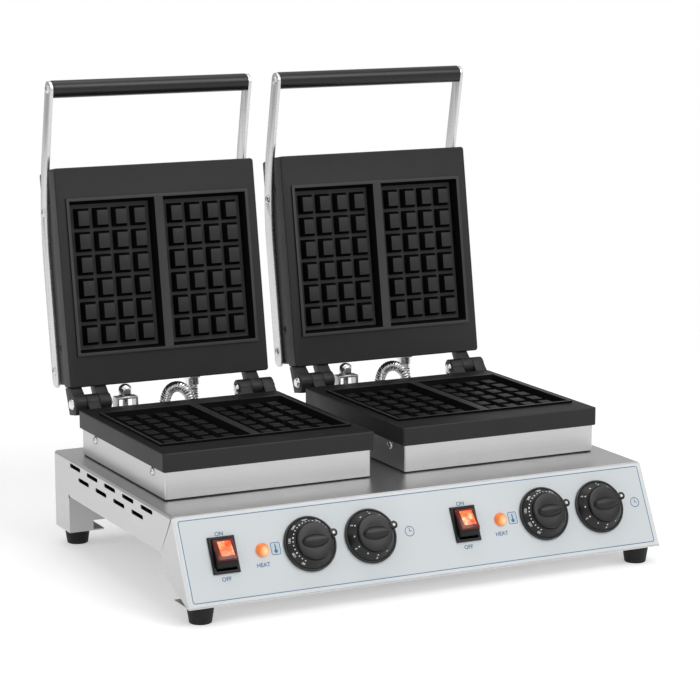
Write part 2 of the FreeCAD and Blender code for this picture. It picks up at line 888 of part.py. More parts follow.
# Conduit and its glands
def base_gland():
    seat = V(gland_offset, top_depth - gland_rear_inset, top_z)
    nut = hexagon(seat, gland_flats, gland_nut_height)
    sleeve = rod(seat + V(0, 0, gland_nut_height), ALONG_Z, gland_sleeve_radius, gland_sleeve_length)
    thread = rod(seat, ALONG_Z * -1, gland_thread_radius, gland_thread_length)
    return joined([nut, sleeve, thread])


def lid_gland():
    seat = V(lid_gland_offset, housing_rear, lid_face + lid_gland_height)
    nut = hexagon(V(0, 0, 0), gland_flats, lid_gland_nut_height)
    nut.rotate(V(0, 0, 0), ALONG_X, -90)
    nut.translate(seat)
    sleeve = rod(seat + ALONG_Y * lid_gland_nut_height, ALONG_Y, gland_sleeve_radius, lid_gland_sleeve_length)
    thread = rod(seat, ALONG_Y * -1, gland_thread_radius, gland_thread_length)
    return joined([nut, sleeve, thread])


def conduit_route():
    start = V(gland_offset, top_depth - gland_rear_inset, top_z + gland_nut_height + gland_sleeve_length)
    reach = housing_rear + lid_gland_nut_height + lid_gland_sleeve_length
    end_y, end_z = lid_spot_opened(reach, lid_face + lid_gland_height)
    before_y, before_z = lid_spot_opened(reach + conduit_fall, lid_face + lid_gland_height)
    route = [start, start + V(0, 0, conduit_rise)]
    route += [V(x, hinge_y + back, hinge_z + up) for x, back, up in conduit_loop]
    route.append(V(lid_gland_offset, before_y, before_z))
    route.append(V(lid_gland_offset, end_y, end_z))
    return route


def conduit():
    path, radii = rounded_path(conduit_route())
    tube = tube_along(path, conduit_radius)
    expected = math.pi * conduit_radius ** 2 * path.Length
    print("conduit length %.1f" % path.Length, "radii", ["%.1f" % r for r in radii],
          "volume share %.4f" % (tube.Volume / expected))
    return tube


# Controls, drawn flat and laid on the fascia
def rocker_housing():
    seat = overlay_thickness
    bezel = box(-rocker_bezel_width / 2, rocker_bezel_width / 2, -rocker_bezel_length / 2,
                rocker_bezel_length / 2, seat, seat + rocker_bezel_height)
    bezel = bezel.makeFillet(rocker_bezel_edge, edges_at_height(bezel, seat + rocker_bezel_height))
    body = box(-rocker_body_width / 2, rocker_body_width / 2, -rocker_body_length / 2,
               rocker_body_length / 2, -rocker_body_depth, seat)
    well_x = rocker_width / 2 + rocker_well_gap
    well_y = rocker_sweep_radius + rocker_well_gap
    well = box(-well_x, well_x, -well_y, well_y, -rocker_well_depth, seat + 2 * rocker_bezel_height)
    reach = well_x + rocker_pivot_length
    socket = rod(V(-reach, 0, -rocker_pivot_drop), ALONG_X, rocker_pivot_radius + rocker_pivot_gap, 2 * reach)
    return joined([bezel, body]).cut(well).cut(socket)


def rocker_paddle():
    """Its ends are rounded about the pivot, so that they pass the frame at every tilt."""
    half = rocker_sweep_radius
    foot = rocker_foot_length / 2
    low = -rocker_pivot_drop - rocker_foot_drop
    profile = [(-half, rocker_top_height), (-half, -rocker_shoulder_drop), (-foot, low), (foot, low),
               (half, -rocker_shoulder_drop), (half, rocker_top_height)]
    block = side_prism(profile, -rocker_width / 2, rocker_width / 2)
    sweep = rod(V(-rocker_width / 2, 0, -rocker_pivot_drop), ALONG_X, rocker_sweep_radius, rocker_width)
    block = block.common(sweep)
    reach = rocker_width / 2 + rocker_well_gap + rocker_pivot_length - rocker_pivot_gap
    pivot = rod(V(-reach, 0, -rocker_pivot_drop), ALONG_X, rocker_pivot_radius, 2 * reach)
    paddle = joined([block, pivot])
    paddle.rotate(V(0, 0, -rocker_pivot_drop), ALONG_X, -rocker_tilt)
    return paddle


def pilot_lamp():
    seat = overlay_thickness
    rim = rod(V(0, 0, seat), ALONG_Z, lens_radius, lens_rim)
    ball = (lens_radius ** 2 + lens_dome ** 2) / (2 * lens_dome)
    dome = Part.makeSphere(ball, V(0, 0, seat + lens_rim + lens_dome - ball))
    dome = dome.common(rod(V(0, 0, seat + lens_rim), ALONG_Z, lens_radius, lens_dome))
    body = rod(V(0, 0, seat), ALONG_Z * -1, lamp_radius, lamp_depth)
    return joined([rim, dome, body])


def dial_form(gap):
    """A knob's turned skirt and dial. With a gap, it is the room that they turn in."""
    low = overlay_thickness + bezel_floor + skirt_gap
    deck = low + skirt_thickness
    skirt_radius = bezel_radius - bezel_wall - skirt_gap
    grow = gap * math.hypot(dial_rise, skirt_radius - dial_top_radius) / dial_rise
    skirt = rod(V(0, 0, low - gap), ALONG_Z, skirt_radius + gap, skirt_thickness + gap)
    dial = Part.makeCone(skirt_radius + grow, dial_top_radius + grow, dial_rise, V(0, 0, deck), ALONG_Z)
    return skirt, dial, V(0, 0, deck + dial_rise)


def control_bezel():
    seat = overlay_thickness
    cup = rod(V(0, 0, seat), ALONG_Z, bezel_radius, bezel_height)
    turn = math.radians(ear_angle)
    spot = V(ear_circle * math.cos(turn), ear_circle * math.sin(turn), seat)
    index = Part.makeCone(ear_foot_radius, ear_top_radius, ear_height, spot, ALONG_Z)
    skirt, dial, crown = dial_form(skirt_gap)
    above = rod(crown, ALONG_Z, dial_top_radius + skirt_gap, ear_height)
    hole = rod(V(0, 0, 0), ALONG_Z, bush_radius + bush_gap, 2 * bezel_height)
    return joined([cup, index]).cut(joined([skirt, dial, above])).cut(hole)


def knob():
    skirt, dial, crown = dial_form(0)
    body = Part.makeCone(knob_radius, knob_top_radius, knob_height, crown, ALONG_Z)
    top = knob_height + bar_height
    bar = box(-knob_radius, knob_radius, -bar_width / 2, bar_width / 2, crown.z, crown.z + top)
    bar = bar.common(rod(crown, ALONG_Z, knob_top_radius, top))
    spindle = rod(crown, ALONG_Z * -1, spindle_radius, crown.z + spindle_depth)
    return joined([skirt, dial, body, bar, spindle])


def spindle_bore():
    return rod(V(0, 0, overlay_thickness + bezel_floor), ALONG_Z * -1, spindle_radius + pin_running_gap,
               spindle_depth + overlay_thickness + 2 * bezel_floor)


def control_bush():
    return rod(V(0, 0, -sheet), ALONG_Z, bush_radius, sheet + overlay_thickness + bezel_floor)


def thermostat_body():
    drum = rod(V(0, 0, -sheet), ALONG_Z * -1, thermostat_radius, thermostat_depth)
    return joined([drum, control_bush()]).cut(spindle_bore())


def timer_body():
    half = timer_width / 2
    case = box(-half, half, -half, half, -sheet - timer_depth, -sheet)
    case = case.makeFillet(collar_corner, edges_along(case, ALONG_Z))
    return joined([case, control_bush()]).cut(spindle_bore())


# Inside and rear
def cable_gland():
    z = top_z - cable_gland_drop
    nut = hexagon(V(0, 0, 0), cable_gland_flats, cable_gland_nut)
    dome = Part.makeCone(cable_gland_dome_radius, cable_gland_dome_radius - collar_corner, cable_gland_dome,
                         V(0, 0, cable_gland_nut), ALONG_Z)
    thread = rod(V(0, 0, 0), ALONG_Z * -1, cable_gland_thread_radius, cable_gland_nut)
    reach = 2 * cable_gland_nut + cable_gland_dome
    bore = rod(V(0, 0, -cable_gland_nut), ALONG_Z, cable_bore_radius, reach)
    gland = joined([nut, dome, thread]).cut(bore)
    gland.rotate(V(0, 0, 0), ALONG_X, -90)
    gland.translate(V(cable_gland_x, top_depth, z))
    return gland


def terminal_block():
    low = arch_z + pan_gap + sheet
    half = terminal_length / 2
    block = box(-half, half, terminal_front, terminal_front + terminal_width, low, low + terminal_height)
    pitch = terminal_length / terminal_ways
    for k in range(terminal_ways):
        x = -half + (k + 0.5) * pitch
        block = block.cut(box(x - terminal_slot / 2, x + terminal_slot / 2, terminal_front,
                              terminal_front + terminal_width, low + terminal_height - terminal_slot_depth,
                              low + terminal_height))
    return block


# All pieces by name, with the lids standing open against their stops
def base_pieces():
    feet = foot_places()
    return {
        "chassis_shell": chassis_shell(),
        "rear_panel": rear_panel(),
        "front_fascia": front_fascia(),
        "fascia_overlay": fascia_overlay(),
        "bottom_pan": bottom_pan(),
        "rubber_feet": Part.makeCompound([rubber_foot(x, y) for x, y in feet]),
        "foot_screws": Part.makeCompound([foot_screw(x, y) for x, y in feet]),
        "terminal_block": terminal_block(),
        "cable_gland": cable_gland(),
    }


def standing_pieces():
    """Pieces of one station that stay with the base, about x = 0."""
    return {
        "collar": collar(),
        "collar_screws": Part.makeCompound([screw(*spot) for spot in boss_screw_spots()]),
        "lower_plate": casting(),
        "lower_heater": heater(),
        "hinge_pins": hinge_pins(),
        "stop_bracket": stop_bracket(),
        "stop_bolt": stop_bolt(),
        "conduit": conduit(),
        "base_gland": base_gland(),
    }


def control_pieces():
    """Flat-drawn control pieces of one station, with their place across the fascia."""
    bezels = [moved(control_bezel(), x=offset) for offset in (thermostat_offset, timer_offset)]
    return {
        "rocker_housing": (rocker_housing(), rocker_offset),
        "rocker_paddle": (rocker_paddle(), rocker_offset),
        "pilot_lamp": (pilot_lamp(), pilot_offset),
        "control_bezels": (Part.makeCompound(bezels), 0.0),
        "thermostat_body": (thermostat_body(), thermostat_offset),
        "timer_body": (timer_body(), timer_offset),
        "thermostat_knob": (knob(), thermostat_offset),
        "timer_knob": (knob(), timer_offset),
    }


def lid_pieces():
    """Pieces of one lid, drawn closed about x = 0."""
    screws = [screw(*spot) for spot in lid_screw_spots() + arm_screw_spots()]
    return {
        "upper_plate": turned_over(casting()),
        "upper_heater": turned_over(heater()),
        "lid_cover": lid_cover(),
        "lid_left_arm": arm(-1),
        "lid_right_arm": arm(1),
        "grip": grip(),
        "lid_screws": Part.makeCompound(screws),
        "lid_gland": lid_gland(),
    }


def all_pieces():
    pieces = base_pieces()
    standing = standing_pieces()
    controls = control_pieces()
    lid = {name: lid_opened(shape) for name, shape in lid_pieces().items()}
    for side, x in stations.items():
        for name, shape in {**standing, **lid}.items():
            pieces[side + "_" + name] = moved(shape, x=x)
        for name, (shape, offset) in controls.items():
            pieces[side + "_" + name] = on_fascia(shape, x + offset, control_drop)
    return pieces


def centred(pieces):
    """Slides all pieces along Y, so that the origin lies under the middle of the whole."""
    bounds = Part.makeCompound(list(pieces.values())).optimalBoundingBox(False, False)
    middle_y = (bounds.YMin + bounds.YMax) / 2
    print("middle of the whole lies %.4f behind the front edge of the top" % middle_y)
    print("overall size %.2f x %.2f x %.2f" % (bounds.XLength, bounds.YLength, bounds.ZLength))
    return {name: moved(shape, y=-middle_y) for name, shape in pieces.items()}, middle_y


nodes, middle_y = centred(all_pieces())
os.makedirs("parts", exist_ok=True)
for name, shape in nodes.items():
    shape.exportStep("parts/" + name + ".step")
print(len(nodes), "nodes")
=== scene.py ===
# %% [markdown]
# # A twin waffle iron, dressed around its CAD frame
# The frame holds every solid of the machine in metres, with its hinges and turning knobs.
# A render could start from new shapes alone, but then nothing would fit or move. So each piece here sits on a
# CAD body by name, and keeps that body's place.

# %% Load the frame
import json
import math

import bmesh
import bpy
from mathutils import Matrix, Vector


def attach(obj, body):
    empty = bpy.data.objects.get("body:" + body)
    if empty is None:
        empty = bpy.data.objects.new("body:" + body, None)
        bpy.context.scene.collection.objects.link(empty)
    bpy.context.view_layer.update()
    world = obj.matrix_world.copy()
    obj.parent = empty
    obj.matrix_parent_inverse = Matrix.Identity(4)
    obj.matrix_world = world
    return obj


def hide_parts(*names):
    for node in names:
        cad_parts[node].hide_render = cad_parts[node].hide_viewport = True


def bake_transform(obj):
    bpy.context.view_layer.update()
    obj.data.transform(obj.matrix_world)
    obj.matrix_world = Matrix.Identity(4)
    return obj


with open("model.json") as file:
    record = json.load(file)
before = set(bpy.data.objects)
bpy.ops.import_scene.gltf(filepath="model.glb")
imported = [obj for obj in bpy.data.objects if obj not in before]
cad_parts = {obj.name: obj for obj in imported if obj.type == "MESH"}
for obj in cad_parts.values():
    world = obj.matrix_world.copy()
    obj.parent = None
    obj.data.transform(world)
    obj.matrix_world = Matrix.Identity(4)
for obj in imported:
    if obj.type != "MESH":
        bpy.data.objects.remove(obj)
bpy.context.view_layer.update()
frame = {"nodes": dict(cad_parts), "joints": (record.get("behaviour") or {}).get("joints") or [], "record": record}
SIDES = ("left", "right")
MM = 0.001

# %% [markdown]
# The machine was drawn from the front edge of its flat top. The lid hinges stand 280.5 mm behind that edge,
# so a hinge of the frame tells where the edge is. Reading it there keeps this file right if the frame is slid.

# %% Where the drawing's edges are
joint_at = {j["name"]: Vector(j["pos_m"]) for j in frame["joints"]}
HINGE_BACK = 280.5 * MM
front_edge = joint_at["left_lid_hinge"].y - HINGE_BACK
station = {side: joint_at[side + "_lid_hinge"].x for side in SIDES}
print("front edge of the top at y =", round(front_edge, 5), "stations at", station)

# %% [markdown]
# The photograph was taken from the front left, a little above the top. A long lens far away gives its nearly
# parallel edges. The numbers come from fitting the corners of the base and plates, not from trying by eye.

# %% Camera
AZIMUTH = math.radians(-26.61)
ELEVATION = math.radians(10.59)
DISTANCE = 2.3825
FOCAL_LENGTH = 129.54
SENSOR_WIDTH = 36.0
AIM_ACROSS = -0.0002
AIM_BEHIND_EDGE = 0.1335
AIM_HEIGHT = 0.1954
aim = Vector((AIM_ACROSS, front_edge + AIM_BEHIND_EDGE, AIM_HEIGHT))
back = Vector((math.sin(AZIMUTH) * math.cos(ELEVATION), -math.cos(AZIMUTH) * math.cos(ELEVATION),
               math.sin(ELEVATION)))
lens = bpy.data.cameras.new("camera")
lens.lens = FOCAL_LENGTH
lens.sensor_width = SENSOR_WIDTH
lens.clip_end = 50.0
camera = bpy.data.objects.new("camera", lens)
camera.location = aim + back * DISTANCE
camera.rotation_euler = (-back).to_track_quat("-Z", "Y").to_euler()
bpy.context.scene.collection.objects.link(camera)
bpy.context.scene.camera = camera
bpy.context.scene.view_settings.view_transform = "Standard"
print("camera at", [round(c, 3) for c in camera.location])

# %% [markdown]
# Every surface below gets its finish from shader nodes. Wiring nodes one by one hides the sum that they do,
# so a small class wraps a socket: arithmetic on it adds Math nodes, and one method makes any other node.

# %% Shader sums written as Python
class Wire:
    """An output socket of a node tree, or with no socket the tree's start."""

    def __init__(self, tree, socket=None):
        self.tree = tree
        self.socket = socket

    def node(self, kind, settings=None, values=None, out=0):
        made = self.tree.nodes.new(kind)
        for key, value in (settings or {}).items():
            if key == "stops":
                while len(made.color_ramp.elements) < len(value):
                    made.color_ramp.elements.new(0.5)
                for element, (spot, colour) in zip(made.color_ramp.elements, value):
                    element.position = spot
                    element.color = colour
            else:
                setattr(made, key, value)
        for key, value in (values or {}).items():
            if isinstance(value, Wire):
                self.tree.links.new(value.socket, made.inputs[key])
            else:
                made.inputs[key].default_value = value
        return Wire(self.tree, made.outputs[out]) if len(made.outputs) else None

    def sum(self, operation, first, second):
        return self.node("ShaderNodeMath", {"operation": operation}, {0: first, 1: second})

    def __add__(self, other):
        return self.sum("ADD", self, other)

    def __sub__(self, other):
        return self.sum("SUBTRACT", self, other)

    def __rsub__(self, other):
        return self.sum("SUBTRACT", other, self)

    def __mul__(self, other):
        return self.sum("MULTIPLY", self, other)

    def __gt__(self, other):
        return self.sum("GREATER_THAN", self, other)

    def __lt__(self, other):
        return self.sum("LESS_THAN", self, other)

    def __abs__(self):
        return self.node("ShaderNodeMath", {"operation": "ABSOLUTE"}, {0: self})

    __radd__ = __add__
    __rmul__ = __mul__

    def clamped_sum(self, other):
        return self.node("ShaderNodeMath", {"operation": "ADD", "use_clamp": True}, {0: self, 1: other})

    def noise(self, scale, detail=4.0, stretch=(1.0, 1.0, 1.0)):
        spot = self.node("ShaderNodeTexCoord", out="Object")
        spot = self.node("ShaderNodeMapping", {}, {"Vector": spot, "Scale": stretch})
        return self.node("ShaderNodeTexNoise", {}, {"Vector": spot, "Scale": scale, "Detail": detail})

    def colours(self, share, first, second):
        return self.node("ShaderNodeMix", {"data_type": "RGBA"}, {0: share, 6: first, 7: second}, 2)

    def bump(self, height, depth, strength=0.5):
        return self.node("ShaderNodeBump", {}, {"Height": height, "Distance": depth, "Strength": strength})

    def surface(self, values):
        shader = self.node("ShaderNodeBsdfPrincipled", {}, values)
        self.node("ShaderNodeOutputMaterial", {}, {"Surface": shader})


def new_finish(name):
    made = bpy.data.materials.new(name)
    made.use_nodes = True
    made.node_tree.nodes.clear()
    return made, Wire(made.node_tree)


def grey(level):
    return (level, level, level, 1.0)


NOISE_MEAN = 0.5
print("shader helpers ready")

# %% [markdown]
# The studio is a pale floor under soft light. The photograph's ground is white, which could be had by more
# light, but that would bleach the steel. Here the floor keeps a plain level and its shadow, adds a little
# white of its own for rays from the camera, from gloss and through glass, and fades to white far away.

# %% Floor
FLOOR_HALF = 6.0
FLOOR_GLOW = 0.36
FAR_LEVEL = 0.5
FADE_FROM = 0.5
FADE_TO = 1.3
RAY_KINDS = ("Is Camera Ray", "Is Glossy Ray", "Is Transmission Ray")


def ray_kinds(start):
    """Three wires, each 1 for its kind of ray: from the camera, from gloss and through glass."""
    return [start.node("ShaderNodeLightPath", out=kind) for kind in RAY_KINDS]


floor_bm = bmesh.new()
bmesh.ops.create_grid(floor_bm, x_segments=1, y_segments=1, size=FLOOR_HALF)
floor_mesh = bpy.data.meshes.new("floor")
floor_bm.to_mesh(floor_mesh)
floor_bm.free()
floor = bpy.data.objects.new("floor", floor_mesh)
bpy.context.scene.collection.objects.link(floor)
floor_paper, start = new_finish("floor_paper")
seen, gloss, through = ray_kinds(start)
looked_at = (seen + gloss).clamped_sum(through)
speck = start.noise(40.0)
matte = start.node("ShaderNodeBsdfDiffuse", {}, {"Color": start.colours(speck, grey(0.88), grey(0.92))})
glow = start.node("ShaderNodeEmission", {}, {"Color": grey(1.0), "Strength": looked_at * FLOOR_GLOW})
near = start.node("ShaderNodeAddShader", {}, {0: matte, 1: glow})
far = start.node("ShaderNodeEmission", {},
                 {"Color": grey(1.0), "Strength": looked_at * (1.0 - FAR_LEVEL) + FAR_LEVEL})
spot = start.node("ShaderNodeTexCoord", out="Object")
away = start.node("ShaderNodeVectorMath", {"operation": "LENGTH"}, {0: spot}, "Value")
fade = start.node("ShaderNodeMapRange", {"interpolation_type": "SMOOTHSTEP"},
                  {"Value": away, "From Min": FADE_FROM, "From Max": FADE_TO, "To Min": 0.0, "To Max": 1.0})
paper = start.node("ShaderNodeMixShader", {}, {0: fade, 1: near, 2: far})
start.node("ShaderNodeOutputMaterial", {}, {"Surface": paper})
floor_mesh.materials.append(floor_paper)
print("floor", 2 * FLOOR_HALF, "m wide")

# %% [markdown]
# Steel looks like what it mirrors. An even white room would leave it flat, so the room darkens a little towards
# the ground, to the left and behind the machine. That is for gloss only: the camera sees white, and an even
# light fills from all round.

# %% World
ROOM_LEVEL = 0.6
ROOM_RISE = 0.25
ROOM_ACROSS = 0.1
ROOM_BEHIND = 0.16
FILL_LEVEL = 0.5
world = bpy.data.worlds.new("studio")
bpy.context.scene.world = world
world.use_nodes = True
world.node_tree.nodes.clear()
start = Wire(world.node_tree)
seen, gloss, through = ray_kinds(start)
heading = start.node("ShaderNodeTexCoord", out="Generated")
across, depth, rise = [start.node("ShaderNodeSeparateXYZ", {}, {"Vector": heading}, axis) for axis in "XYZ"]
shade = (ROOM_LEVEL + rise * ROOM_RISE).clamped_sum(across * ROOM_ACROSS - depth * ROOM_BEHIND)
room = start.node("ShaderNodeCombineColor", {}, {"Red": shade, "Green": shade, "Blue": shade})
lit = start.colours(gloss, grey(FILL_LEVEL), room)
lit = start.colours(seen.clamped_sum(through), lit, grey(1.0))
sky = start.node("ShaderNodeBackground", {}, {"Color": lit, "Strength": 1.0})
start.node("ShaderNodeOutputWorld", {}, {"Surface": sky})
print("world set, fill", FILL_LEVEL)

# %% [markdown]
# Three large round lamps give the soft light of a product photograph. One hard lamp would draw black shadows,
# so the main light comes from the right, and a weak one from the left and one from above lift what it leaves.

# %% Lamps
LAMPS = {"key_lamp": ((0.9, -1.7, 2.1), 1.6, 22.5), "side_lamp": ((-2.2, -0.6, 1.2), 1.4, 4.5),
         "top_lamp": ((0.0, 0.4, 2.6), 1.8, 12.0)}


def soft_lamp(name, place, size, watts):
    data = bpy.data.lights.new(name, "AREA")
    data.shape = "DISK"
    data.size = size
    data.energy = watts
    lamp = bpy.data.objects.new(name, data)
    lamp.location = place
    lamp.rotation_euler = (aim - Vector(place)).to_track_quat("-Z", "Y").to_euler()
    bpy.context.scene.collection.objects.link(lamp)
    print("lamp", name, watts, "W")


for name, (place, size, watts) in LAMPS.items():
    soft_lamp(name, place, size, watts)

# %% [markdown]
# A helper turns a bmesh into a finished piece: it links it, rounds its shading up to an angle, gives it a
# finish, hangs it on its body and hides the CAD nodes it stands for. Doing this in one place means that a
# piece is left without a body only when it is told not to ride.

# %% From bmesh to a piece
SMOOTH_TURN = math.radians(40.0)


def add_piece(bm, name, body, finishes, stands_for=(), rides=True):
    mesh = bpy.data.meshes.new(name)
    for face in bm.faces:
        face.smooth = True
    bm.to_mesh(mesh)
    bm.free()
    mesh.set_sharp_from_angle(angle=SMOOTH_TURN)
    for finish in finishes:
        mesh.materials.append(finish)
    piece = bpy.data.objects.new(name, mesh)
    bpy.context.scene.collection.objects.link(piece)
    if rides:
        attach(piece, body)
    if stands_for:
        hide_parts(*stands_for)
    print("piece", name, len(mesh.polygons), "faces")
    return piece


print("pieces turn smooth up to", round(math.degrees(SMOOTH_TURN)), "degrees")

# %% [markdown]
# Brushed stainless sheet makes the shell, fascia, collars and arms. Its look is hair-fine lines along the
# sheet. A picture of brushing would show its seams, so noise is drawn out two-hundredfold instead: level on
# upright faces, and across the machine on level ones, told apart by the face's own direction.

# %% Brushed stainless
ALONG = 9.0
HAIRLINE = 1900.0
HAIR_TONE = 0.7
HAIR_ROUGH = 0.16
HAIR_DEPTH = 0.02 * MM
CLOUD_TONE = 0.3
CLOUD_ROUGH = 0.1
LEVEL_FACE = 0.8


def brushed_steel(name, dark, light, rough):
    finish, start = new_finish(name)
    facing = start.node("ShaderNodeNewGeometry", out="Normal")
    level = abs(start.node("ShaderNodeSeparateXYZ", {}, {"Vector": facing}, "Z")) > LEVEL_FACE
    upright_lines = start.noise(1.0, 3.0, (ALONG, ALONG, HAIRLINE))
    level_lines = start.noise(1.0, 3.0, (ALONG, HAIRLINE, ALONG))
    lines = upright_lines + level * (level_lines - upright_lines)
    cloud = start.noise(14.0, 2.0)
    tone = (lines * HAIR_TONE).clamped_sum(cloud * CLOUD_TONE)
    uneven = HAIR_ROUGH * (lines - NOISE_MEAN) + CLOUD_ROUGH * (cloud - NOISE_MEAN)
    start.surface({"Base Color": start.colours(tone, dark, light), "Metallic": 1.0,
                   "Roughness": rough + uneven, "Normal": start.bump(lines, HAIR_DEPTH, 0.35)})
    return finish


stainless = brushed_steel("brushed_stainless", grey(0.5), grey(0.66), rough=0.34)
bar_steel = brushed_steel("bright_bar", grey(0.6), grey(0.76), rough=0.3)
pan_steel = brushed_steel("mill_pan", grey(0.38), grey(0.5), rough=0.42)
print("steel finishes ready")

# %% [markdown]
# Castings, rubber, nylon and plastics are plain in colour but never flat: they have a fine grain, patches that
# shine a little more, and tiny bumps. Each could have its own nodes, but they differ only in two tones, a
# roughness and a grain, so one function makes them all.

# %% Grained finishes
FINE_TONE = 0.55
FINE_ROUGH = 0.6
PATCH_TONE = 0.45
PATCH_SIZE = 30.0
DULL = 0.3


def grained(name, dark, light, rough, grain, bump, metal=0.0, patch=0.12, shine=0.5):
    finish, start = new_finish(name)
    fine = start.noise(grain, 5.0)
    cloud = start.noise(grain / PATCH_SIZE, 3.0)
    uneven = patch * (cloud - NOISE_MEAN) + patch * FINE_ROUGH * (fine - NOISE_MEAN)
    start.surface({"Base Color": start.colours(fine * FINE_TONE + cloud * PATCH_TONE, dark, light),
                   "Metallic": metal, "Roughness": rough + uneven, "Specular IOR Level": shine,
                   "Normal": start.bump(fine, bump, 0.45)})
    return finish


finish_of = {
    "stainless": stainless,
    "pan_steel": pan_steel,
    "foot_rubber": grained("foot_rubber", grey(0.006), grey(0.014), rough=0.6, grain=900.0, bump=0.08 * MM,
                           shine=DULL),
    "zinc_fastener": grained("zinc_plate", grey(0.6), grey(0.78), rough=0.24, grain=700.0, bump=0.02 * MM,
                             metal=1.0),
    "terminal_plastic": grained("terminal_plastic", (0.72, 0.68, 0.56, 1), (0.82, 0.78, 0.68, 1), rough=0.5,
                                grain=500.0, bump=0.03 * MM),
    "black_nylon": grained("black_nylon", grey(0.009), grey(0.02), rough=0.5, grain=700.0, bump=0.04 * MM,
                           shine=DULL),
    "heater_sheath": grained("heater_sheath", (0.2, 0.17, 0.14, 1), (0.42, 0.38, 0.33, 1), rough=0.42,
                             grain=200.0, bump=0.03 * MM, metal=1.0),
    "pin_chrome": grained("polished_pin", grey(0.74), grey(0.88), rough=0.22, grain=500.0, bump=0.01 * MM,
                          metal=1.0, patch=0.08),
    "switch_black": grained("switch_black", grey(0.004), grey(0.009), rough=0.3, grain=800.0, bump=0.02 * MM,
                            shine=0.24),
    "thermostat_metal": grained("thermostat_metal", grey(0.5), grey(0.64), rough=0.36, grain=300.0,
                                bump=0.03 * MM, metal=1.0),
    "knob_black": grained("knob_black", grey(0.008), grey(0.016), rough=0.34, grain=1000.0, bump=0.03 * MM,
                          shine=0.34),
    "cover_black": grained("cover_paint", grey(0.007), grey(0.018), rough=0.42, grain=1200.0, bump=0.05 * MM,
                           shine=0.36),
    "grip_black": grained("grip_black", grey(0.008), grey(0.016), rough=0.3, grain=900.0, bump=0.04 * MM,
                          shine=0.38),
}
print(len(finish_of), "finishes")

# %% [markdown]
# The cast plates have a dark non-stick coat. Three more coats paint light and shade on it: the walls of posts
# and pockets are near black and dull as painted shade, the open faces of the lower plates are darker as a painted
# reflection of the dark lids, and the rims of the upper plates are lighter as a painted highlight. One finish
# could fade from tone to tone, but the change is sharp at each edge, so there are four, and each face takes one.

# %% Coated casting
CAST = {"grain": 1400.0, "bump": 0.05 * MM}
casting = grained("coated_casting", grey(0.011), grey(0.031), rough=0.46, shine=0.3, **CAST)
# Painted shade: the walls of posts and pockets are made near black and dull.
painted_wall_shade = grained("baked_walls", grey(0.001), grey(0.003), rough=0.75, shine=0.06, **CAST)
# Painted reflection: the open upward faces of the lower plates are darkened like the dark lids they face.
painted_dark_reflection = grained("oiled_faces", grey(0.004), grey(0.012), rough=0.5, shine=0.2, **CAST)
# Painted highlight: the rims of the upper plates are made lighter.
painted_rim_highlight = grained("worn_rims", grey(0.032), grey(0.066), rough=0.46, shine=0.3, **CAST)
finish_of["coated_casting"] = casting
print("casting finishes ready")

# %% [markdown]
# The pilot lens and the lit rocker glow from a small neon behind them. Light through real plastic would need
# many samples, so the lens is a glossy coloured face with its own soft light, and noise through a colour ramp
# makes the brighter patches that a moulded lens shows. The pilot's dome reads how near each point is to its
# brightest spot, which is partly the neon's glow and partly a painted highlight.

# %% Lit lenses
PILOT_STRENGTH = 0.42
PILOT_ROUGH = 0.16
LENS_COAT = 0.15
LENS_SHINE = 0.3
LENS_UNEVEN = 0.08


def lit_lens(name, deep, body, bright, strength, rough, grain):
    finish, start = new_finish(name)
    cloud = start.noise(grain, 2.0)
    spread = start.node("ShaderNodeValToRGB", {"stops": ((0.3, deep), (0.52, body), (0.72, bright))},
                        {0: cloud})
    start.surface({"Base Color": spread, "Roughness": rough + LENS_UNEVEN * (cloud - NOISE_MEAN),
                   "Emission Color": spread, "Emission Strength": strength, "Coat Weight": LENS_COAT,
                   "Specular IOR Level": LENS_SHINE})
    return finish


finish_of["pilot_amber"] = lit_lens("amber_lens", (0.62, 0.16, 0.02, 1), (0.8, 0.28, 0.05, 1),
                                    (0.85, 0.42, 0.14, 1), PILOT_STRENGTH, PILOT_ROUGH, grain=130.0)
finish_of["rocker_red"] = lit_lens("red_lens", (0.75, 0.07, 0.015, 1), (0.85, 0.19, 0.06, 1),
                                   (0.97, 0.6, 0.33, 1), strength=0.6, rough=0.18, grain=170.0)
lens_frame = lit_lens("red_lens_frame", (0.07, 0.004, 0.003, 1), (0.12, 0.008, 0.005, 1),
                      (0.2, 0.016, 0.01, 1), strength=0.15, rough=0.2, grain=200.0)
pilot_glow, start = new_finish("amber_glow")
# The amber turns paler near the bright spot: neon glow and painted highlight together.
near_glow_and_highlight = start.node("ShaderNodeAttribute", {"attribute_name": "glow"}, out="Fac")
cloud = start.noise(300.0, 2.0)
amber = start.colours(near_glow_and_highlight, (0.72, 0.17, 0.025, 1), (0.95, 0.68, 0.36, 1))
start.surface({"Base Color": amber, "Roughness": PILOT_ROUGH + LENS_UNEVEN * (cloud - NOISE_MEAN),
               "Emission Color": amber, "Emission Strength": PILOT_STRENGTH, "Coat Weight": LENS_COAT,
               "Specular IOR Level": LENS_SHINE})
print("lenses ready")

# %% [markdown]
# The fascia carries a pale printed film, a shade whiter outside its blue line. Its tone could be painted on a
# picture, but the film is flat, so the whiter edge is simply where x or z passes a limit.

# %% Printed film
TOP_Z = 90.2 * MM
FASCIA_RUN = 37.5 * MM
FASCIA_DROP = 73.7 * MM
slope = math.atan2(FASCIA_RUN, FASCIA_DROP)
CONTROL_ROW = 38.5 * MM
LINE_HALF = 235.5 * MM
LINE_TOP = 4.0 * MM
LINE_LOW = 78.1 * MM

